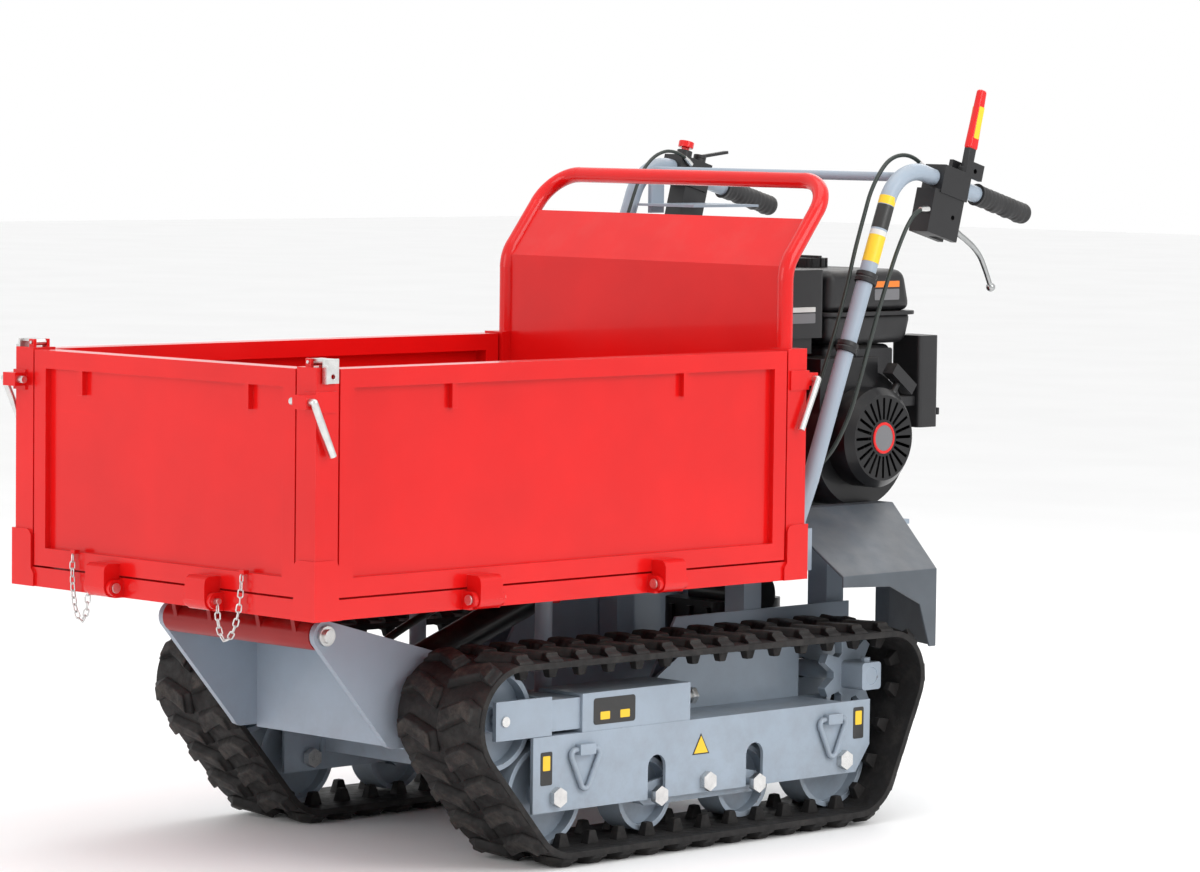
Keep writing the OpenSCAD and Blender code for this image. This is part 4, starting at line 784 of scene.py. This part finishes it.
class BARROW_OT_chains(bpy.types.Operator):
    """Builds the two chains that keep the tailgate's hinge pins"""

    bl_idname = "barrow.chains"
    bl_label = "Chains"

    def execute(self, context):
        s = context.scene.barrow_sizes
        low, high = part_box("safety_chains")
        wire, long = s.chain_wire, s.chain_link
        clear()
        bpy.ops.mesh.primitive_torus_add(major_segments=16, minor_segments=8, major_radius=0.0038,
                                         minor_radius=wire / 2)
        link = bpy.context.object
        stretch = long / 2 - 0.0038 - wire / 2
        for v in link.data.vertices:
            v.co.x += stretch if v.co.x > 0 else -stretch
        only(link)
        bpy.ops.object.shade_smooth()
        parts = []
        x0, x1 = high.x - 0.0475, high.x - 0.0025
        y0, y1 = low.y + 0.0035, high.y - 0.0045
        top0, top1, sag = 0.4068, 0.4530, low.z + 0.004
        for sign in (1, -1):
            pts = []
            for k in range(61):
                t = k / 60
                x = x0 + (x1 - x0) * (0.5 - 0.5 * math.cos(math.pi * t))
                z = top0 + (top1 - top0) * t - 4.0 * (0.5 * (top0 + top1) - sag) * t * (1 - t)
                y = y0 + (y1 - y0) * t - 0.002 * math.sin(math.pi * t)
                pts.append(Vector((sign * x, y, z)))
            run = [0.0]
            for a, b in zip(pts, pts[1:]):
                run.append(run[-1] + (b - a).length)
            pitch = long - 2 * wire
            count = int(run[-1] / pitch)
            for k in range(count):
                d = (k + 0.5) * run[-1] / count
                i = max(j for j in range(60) if run[j] <= d)
                f = (d - run[i]) / (run[i + 1] - run[i])
                turn = aim(pts[i + 1] - pts[i]) @ Matrix.Rotation(math.radians(90 * (k % 2) + 25), 4, "Z")
                place = Matrix.Translation(pts[i].lerp(pts[i + 1], f)) @ turn
                parts.append(copy_of(link, "link", place @ sideways((0, 0, 0))))
        chain = join("keeper_chains", parts)
        bpy.data.objects.remove(link)
        only(chain)
        chain.data.materials.clear()
        chain.data.materials.append(finish_of("zinc"))
        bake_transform(chain)
        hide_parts("safety_chains")
        return {"FINISHED"}


# ---------------------------------------------------------------- engine
class BARROW_OT_engine(bpy.types.Operator):
    """Finishes the engine and its tank, covers and starter"""

    bl_idname = "barrow.engine"
    bl_label = "Engine"

    def execute(self, context):
        carry_all(["engine_block"], 0.0016)
        carry_all(["fan_housing", "recoil_cover"], 0.0014)
        carry_all(["air_cleaner"], 0.0045)
        self.tank()
        self.badge()
        self.fan()
        self.under_tank()
        carry_all(["muffler"], 0.0016)
        carry_all(["control_box", "fuel_cap", "recoil_handle", "ignition_key"], 0.0015)
        return {"FINISHED"}

    def tank(self):
        """Two pressed halves with a seam flange, a filler neck and four feet"""
        def shoulders(obj):
            middle_y = (at(0, 1266, 0).y + at(0, 1474, 0).y) / 2
            for v in obj.data.vertices:
                if v.co.z > at(0, 0, 830).z:
                    v.co.y -= 0.018 if v.co.y > middle_y else -0.004
                    if v.co.x < 0:
                        v.co.x *= 0.95

        def belly(obj):
            for v in obj.data.vertices:
                if v.co.z < at(0, 0, 760).z:
                    v.co.x *= 0.95
                    v.co.y += -0.008 if v.co.y > at(0, 1373, 0).y else 0.006

        upper = shaped("tank_upper", at(-140, 1266, 797), at(148, 1474, 866), 0.017, taper=shoulders)
        lower = shaped("tank_lower", at(-140, 1268, 744), at(146, 1478, 796), 0.015, taper=belly)
        seam = shaped("tank_seam", at(-146, 1262, 791), at(152, 1486, 797.5), 0.024, 0.0014, 2)
        neck = moved(turned("tank_neck", [(0.024, 0), (0.024, 0.0085), (0.0225, 0.010)], 40),
                     Matrix.Translation(at(5, 1372, 864)))
        feet = [shaped("tank_foot", at(x, y, 633), at(x + 16, y + 16, 746), 0.002)
                for x in (-110, 70) for y in (1352, 1410)]
        tank = join("fuel_tank_pressed", [upper, lower, seam, neck, *feet])
        settle(tank, "machine", "black_plastic", "black_plastic", "fuel_tank")
        patch("tank_patch_orange", at(TANK_FACE, 1408, 842), 0.060, 0.010, "orange")
        patch("tank_patch_pale", at(TANK_FACE, 1408, 825), 0.060, 0.018, "dull_patch")
        patch("cleaner_patch", at(CLEANER_FACE, 1206, 804), 0.056, 0.008, "pale")
        patch("cleaner_patch_dull", at(CLEANER_FACE, 1206, 790), 0.056, 0.016, "dull_patch")

    def badge(self):
        """A plain round badge in a red ring, and the cover's three bolts"""
        face = sideways(at(233.6, STARTER_Y, STARTER_Z))
        ring = [(0.0255, 0), (0.0255, 0.0016), (0.0245, 0.0024), (0.0215, 0.0024), (0.0205, 0.0012)]
        disc = [(0.0208, 0), (0.0208, 0.0016), (0.014, 0.0021), (0.001, 0.0023)]
        for name, profile, finish in (("ring", ring, "red_plastic"), ("disc", disc, "dull_patch")):
            piece = moved(turned(f"badge_{name}", profile, 64), face)
            rounded(piece, 0.0002)
            settle(piece, "machine", finish)
        bolt_profile = [(0.0095, 0), (0.0095, 0.0015), (0.0062, 0.0017), (0.0062, 0.0065), (0.0052, 0.0075)]
        bolt_circle = 101
        for k, angle in enumerate((100, 215, 325)):
            a = math.radians(angle)
            spot = at(176, STARTER_Y + bolt_circle * math.cos(a), STARTER_Z + bolt_circle * math.sin(a))
            bolt = moved(turned(f"cover_bolt_{k}", bolt_profile, 24), sideways(spot))
            rounded(bolt, 0.0003)
            settle(bolt, "machine", "zinc")

    def fan(self):
        """Cooling fan behind the slots of the recoil cover"""
        count, lean = 18, Matrix.Rotation(math.radians(14), 4, "X")
        plate = turned("fan_plate", [(0.072, 0), (0.072, 0.002), (0.020, 0.003), (0.020, 0.030),
                                     (0.016, 0.034)], 64)
        blade = shaped("fan_blade", (0.024, -0.0009, 0.002), (0.069, 0.0009, 0.024), 0.0004)
        blades = [copy_of(blade, "fan_blade_copy", Matrix.Rotation(2 * math.pi * k / count, 4, "Z") @ lean)
                  for k in range(count)]
        bpy.data.objects.remove(blade)
        rounded(plate, 0.0006)
        fan = moved(join("cooling_fan", [plate, *blades]), sideways(at(188, STARTER_Y, STARTER_Z)))
        settle(fan, "machine", "black_plastic")

    def under_tank(self):
        """Shroud, carburettor body and linkage between the tank and the engine"""
        shroud = shaped("engine_shroud", at(-70, 1290, 668), at(120, 1452, 742), 0.010)
        settle(shroud, "machine", "cast_dark")
        body = shaped("carburettor", at(70, 1216, 676), at(112, 1262, 724), 0.006)
        settle(body, "machine", "alloy")
        bowl = turned("carburettor_bowl", [(0.016, 0), (0.019, 0.004), (0.019, 0.022), (0.016, 0.026)], 32)
        moved(bowl, Matrix.Translation(at(91, 1240, 652)))
        rounded(bowl, 0.001)
        settle(bowl, "machine", "alloy")
        ear = shaped("starter_ear", at(118, 1340, 690), at(128, 1446, 736), 0.004, 0.001, 0)
        settle(ear, "machine", "cast_dark")
        rod = swept("throttle_link", smooth([at(118, 1236, 712), at(128, 1270, 722), at(130, 1320, 724),
                                             at(126, 1356, 716)]), 0.0014, 8)
        settle(rod, "machine", "zinc")


# ---------------------------------------------------------------- handlebar
class BARROW_OT_handlebar(bpy.types.Operator):
    """Finishes the handlebar, its grips, levers and cables"""

    bl_idname = "barrow.handlebar"
    bl_label = "Handlebar"

    def execute(self, context):
        carry_all(["handlebar"], 0.0006)
        carry_all(["control_housings"], context.scene.barrow_sizes.moulded_edge)
        carry_all(["stop_button", "throttle_lever"], 0.0012)
        self.grips(context.scene.barrow_sizes.grip_ribs)
        self.hand_lever()
        self.drive_lever()
        self.cables()
        self.bands()
        return {"FINISHED"}

    def grips(self, ribs):
        """Moulded grips with a collar, finger waves underneath and a domed end"""
        for side, sign in SIDES:
            places, radii = [], []
            first, last, steps = 86.0, 215.5, ribs * 6
            for k in range(steps + 1):
                t = k / steps
                u = first + (last - first) * t
                rib = 0.0005 * math.cos(2 * math.pi * k / 6)
                wave = 0.0013 * math.cos(2 * math.pi * 4 * (t - 0.1)) if 0.1 < t < 0.9 else 0.0
                end = math.sqrt(max(0.0, 1 - ((t - 0.955) / 0.047) ** 2)) if t > 0.955 else 1.0
                collar = 0.0012 if t < 0.05 else 0.0
                r = (0.0168 + rib + collar) * max(end, 0.25)
                place = on_leg(0, u, -wave * 400)
                place.x *= sign
                places.append(place)
                radii.append((r, r + wave * 0.4))
            grip = swept(f"grip_{side}", places, radii, 40)
            settle(grip, "machine", "grip_rubber", "grip_rubber", "grips")

    def hand_lever(self):
        """Bright hand lever: a slim blade that curves down and away, with a ball at its end"""
        shape = [(20, -56), (38, -62), (60, -71), (84, -77), (106, -84), (126, -95), (146, -114), (164, -134)]
        line = smooth([on_leg(0, u, w) for u, w in shape], 6)
        n = len(line) - 1
        blade = swept("hand_lever_blade", line, [(0.0062 - 0.002 * k / n, 0.0052 - 0.0012 * k / n)
                                                 for k in range(n + 1)], 20)
        eye = turned("hand_lever_eye", [(0.0095, -0.0078), (0.0102, -0.006), (0.0102, 0.006),
                                        (0.0095, 0.0078)], 32)
        moved(eye, sideways(on_leg(0, 20, -56)))
        rounded(eye, 0.0006)
        ball = turned("hand_lever_ball", [(0.002, -0.0074), (0.0052, -0.0058), (0.0072, -0.003), (0.0078, 0),
                                          (0.0072, 0.003), (0.0052, 0.0058), (0.002, 0.0074)], 24)
        moved(ball, Matrix.Translation(on_leg(0, 165, -135)))
        rounded(ball, 0.0003, angle=60)
        lever = join("hand_lever", [blade, eye, ball])
        settle(lever, "clutch_lever_body", "chrome", "chrome", "clutch_lever")

    def drive_lever(self):
        """Black arm on its pin, with a red blade and a plain yellow patch"""
        turn = Matrix(((1, 0, 0), (0, LEG_RUN, LEG_FALL), (0, -LEG_FALL, LEG_RUN))).to_4x4()

        def lay(obj):
            return moved(obj, Matrix.Translation(at(LEG_X, LEG_Y, LEG_Z)) @ turn)

        hub = turned("drive_hub", [(0.0105, -0.0112), (0.011, -0.010), (0.011, 0.010), (0.0105, 0.0112)], 32)
        moved(hub, sideways((0, 0.052, 0.030)))
        rounded(hub, 0.0006)
        arm = shaped("drive_arm", (-0.0065, 0.043, 0.030), (0.0065, 0.061, 0.078), 0.003)
        arm = lay(join("drive_lever_arm", [arm, hub]))
        settle(arm, "drive_lever_body", "black_plastic", "black_plastic", "drive_lever")

        def slim(obj):
            middle = 0.0525
            for v in obj.data.vertices:
                if v.co.z > 0.1:
                    v.co.y = middle + (v.co.y - middle) * 0.72
                    v.co.x *= 0.85

        blade = shaped("drive_blade", (-0.0078, 0.0415, 0.066), (0.0078, 0.0635, 0.1668), 0.0052, taper=slim)
        settle(lay(blade), "drive_lever_body", "red_plastic", "red_plastic", "drive_lever")
        for x in (-0.0074, 0.0074):
            label = shaped("drive_patch", (x - 0.0003, 0.0465, 0.085), (x + 0.0003, 0.0585, 0.138),
                           0.0015, 0.0001, 0)
            settle(lay(label), "drive_lever_body", "yellow")

    def cables(self):
        """Control cables and the hydraulic hose, run along their drawn lines"""
        runs = (
            ("drive_cable", 0.0034, ((267, 1363, 1030), (266, 1345, 1046), (265, 1322, 1054), (264, 1298, 1053),
             (264, 1275, 1043), (264, 1254, 1022), (264, 1236, 994), (265, 1222, 962), (266, 1200, 905),
             (267, 1180, 845), (267, 1160, 790), (265, 1140, 735), (260, 1120, 680), (248, 1102, 628),
             (224, 1084, 580), (196, 1074, 545), (172, 1070, 514), (163, 1070, 484), (163, 1070, 455.3))),
            ("clutch_cable", 0.0034, ((301, 1333, 969), (302, 1316, 968), (303, 1298, 960), (304, 1282, 944),
             (304, 1268, 922), (304, 1252, 892), (304, 1234, 852), (304, 1212, 800), (304, 1192, 748),
             (304, 1172, 695), (301, 1152, 642), (288, 1130, 590), (262, 1110, 552), (226, 1096, 530),
             (184, 1088, 514), (155, 1086, 488), (153, 1086, 455.3))),
            ("throttle_cable", 0.0029, ((-260.8, 1363, 1030), (-260.8, 1345, 1044), (-260.8, 1322, 1052),
             (-262, 1298, 1052), (-264, 1272, 1040), (-265, 1248, 1014), (-266, 1226, 966), (-267, 1204, 908),
             (-266, 1180, 844), (-262, 1156, 778), (-240, 1136, 722), (-200, 1130, 690), (-150, 1132, 668),
             (-104, 1160, 655), (-84.5, 1196, 640))),
            ("ram_hose", 0.0064, ((-178, 1402, 454.7), (-178, 1402, 436), (-181, 1380, 412), (-183, 1330, 400),
             (-183, 1200, 388), (-181, 1040, 386), (-168, 900, 376), (-138, 760, 360), (-96, 640, 340),
             (-72, 560, 322), (-60, 490, 296), (-52, 430, 258), (-44.8, 398, 236))),
        )
        for name, radius, line in runs:
            path = smooth([at(*q) for q in line], 4)
            cable = swept(name, path, radius, 12)
            settle(cable, "machine", "cable_black", "cable_black", "cables_and_hoses")
            for end, inner in ((path[0], path[3]), (path[-1], path[-4])):
                way = (inner - end).normalized()
                ferrule = turned(f"{name}_ferrule", [(radius * 1.5, 0), (radius * 1.5, 0.012),
                                                     (radius * 1.2, 0.014), (radius * 1.2, 0.020)], 20)
                moved(ferrule, Matrix.Translation(end) @ aim(way))
                rounded(ferrule, 0.0003)
                settle(ferrule, "machine", "zinc")

    def bands(self):
        """Ties that hold the cables, and plain patches round the left tube"""
        low_z, high_z = 545, 1043
        foot, head = at(LEG_X, 1082, low_z), at(LEG_X, 1275, high_z)
        turn = aim(head - foot)

        def along(z):
            return foot.lerp(head, (z - low_z) / (high_z - low_z))

        for z in (860, 751):
            place = Matrix.Translation(along(z)) @ turn
            tie = turned(f"cable_tie_{z}", [(0.0142, -0.009), (0.0172, -0.008), (0.0176, -0.002), (0.0164, 0.0),
                                            (0.0176, 0.002), (0.0172, 0.008), (0.0142, 0.009)], 40)
            rounded(moved(tie, place), 0.0004)
            settle(tie, "machine", "black_plastic")
            lock = shaped(f"tie_lock_{z}", (-0.006, -0.0225, -0.0075), (0.010, -0.0145, 0.0075), 0.0018)
            settle(moved(lock, place), "machine", "black_plastic")
        face, edge = 0.01375, 0.01362
        for name, z0, z1, finish in (("yellow", 884, 926, "yellow"), ("pale", 926, 934, "pale"),
                                     ("black", 937, 974, "black_patch"), ("marker", 975, 988, "yellow")):
            height = (along(z1) - along(z0)).length
            band = turned(f"tube_patch_{name}", [(edge, 0), (face, 0.0003), (face, height - 0.0003),
                                                 (edge, height)], 40)
            moved(band, Matrix.Translation(along(z0)) @ turn)
            rounded(band, 0.0001)
            settle(band, "machine", finish)


# ---------------------------------------------------------------- stage
class BARROW_OT_stage(bpy.types.Operator):
    """Sets up the pale floor, the soft lights and the camera"""

    bl_idname = "barrow.stage"
    bl_label = "Studio"

    def execute(self, context):
        clear()
        bpy.ops.mesh.primitive_plane_add(size=60)
        floor = context.object
        floor.name = "studio_floor"
        g = Graph("Pale floor")
        tone = g.blend(g.ramp(g.noise(1.5, 3.0), 0.3, 0.7), (0.91, 0.91, 0.91), (0.94, 0.94, 0.94))
        floor.data.materials.append(g.set(colour=tone, rough=0.65))
        world = bpy.data.worlds.new("Studio")
        context.scene.world = world
        world.use_nodes = True
        backdrop = world.node_tree.nodes["Background"].inputs
        backdrop["Color"].default_value = (1.0, 1.0, 1.0, 1)
        backdrop["Strength"].default_value = 1.0
        for name, place, size, power in (
            ("key", (3.4, 0.6, 2.6), 2.2, 55), ("back", (-1.5, 3.5, 3.2), 2.4, 25),
            ("fill", (-0.6, -4.6, 2.0), 2.4, 42), ("top", (0.3, 0.2, 4.2), 3.0, 45),
        ):
            bpy.ops.object.light_add(type="AREA", location=place)
            lamp = context.object
            lamp.name = name
            lamp.data.size = size
            lamp.data.energy = power
            lamp.rotation_euler = (Vector((0, 0, 0.5)) - Vector(place)).to_track_quat("-Z", "Y").to_euler()
        azimuth, pitch, roll = math.radians(45.4428), math.radians(3.9803), math.radians(0.6854)
        back = Vector((math.sin(azimuth) * math.cos(pitch), -math.cos(azimuth) * math.cos(pitch),
                       math.sin(pitch)))
        right = (-back).cross(Vector((0, 0, 1))).normalized()
        up = right.cross(-back)
        across = math.cos(roll) * right + math.sin(roll) * up
        over = -math.sin(roll) * right + math.cos(roll) * up
        bpy.ops.object.camera_add(location=(5.32295, -4.34382 - MIDDLE, 1.12406))
        camera = context.object
        camera.name = "studio_camera"
        camera.rotation_euler = Matrix((across, over, back)).transposed().to_euler()
        camera.data.lens = 141.35
        camera.data.sensor_width = 36
        camera.data.clip_end = 100
        context.scene.camera = camera
        context.scene.view_settings.view_transform = "Standard"
        return {"FINISHED"}


class BARROW_PT_panel(bpy.types.Panel):
    """Lists the barrow's pieces and settings"""

    bl_label = "Tracked Power Barrow"
    bl_idname = "BARROW_PT_panel"
    bl_space_type = "VIEW_3D"
    bl_region_type = "UI"
    bl_category = "Barrow"

    def draw(self, context):
        for group in (context.scene.barrow_paint, context.scene.barrow_sizes):
            box = self.layout.box()
            for name in type(group).__annotations__:
                box.prop(group, name)
        for step in STEPS:
            self.layout.operator(step.bl_idname)


STEPS = (BARROW_OT_stage, BARROW_OT_tracks, BARROW_OT_undercarriage, BARROW_OT_cargo_box, BARROW_OT_chains,
         BARROW_OT_engine, BARROW_OT_handlebar)
CLASSES = (BarrowPaint, BarrowSizes, *STEPS, BARROW_PT_panel)


def register():
    for c in CLASSES:
        bpy.utils.register_class(c)
    bpy.types.Scene.barrow_paint = PointerProperty(type=BarrowPaint)
    bpy.types.Scene.barrow_sizes = PointerProperty(type=BarrowSizes)


def unregister():
    del bpy.types.Scene.barrow_paint
    del bpy.types.Scene.barrow_sizes
    for c in reversed(CLASSES):
        bpy.utils.unregister_class(c)


def main():
    register()
    for step in STEPS:
        group, name = step.bl_idname.split(".")
        getattr(getattr(bpy.ops, group), name)()


if __name__ == "__main__":
    main()
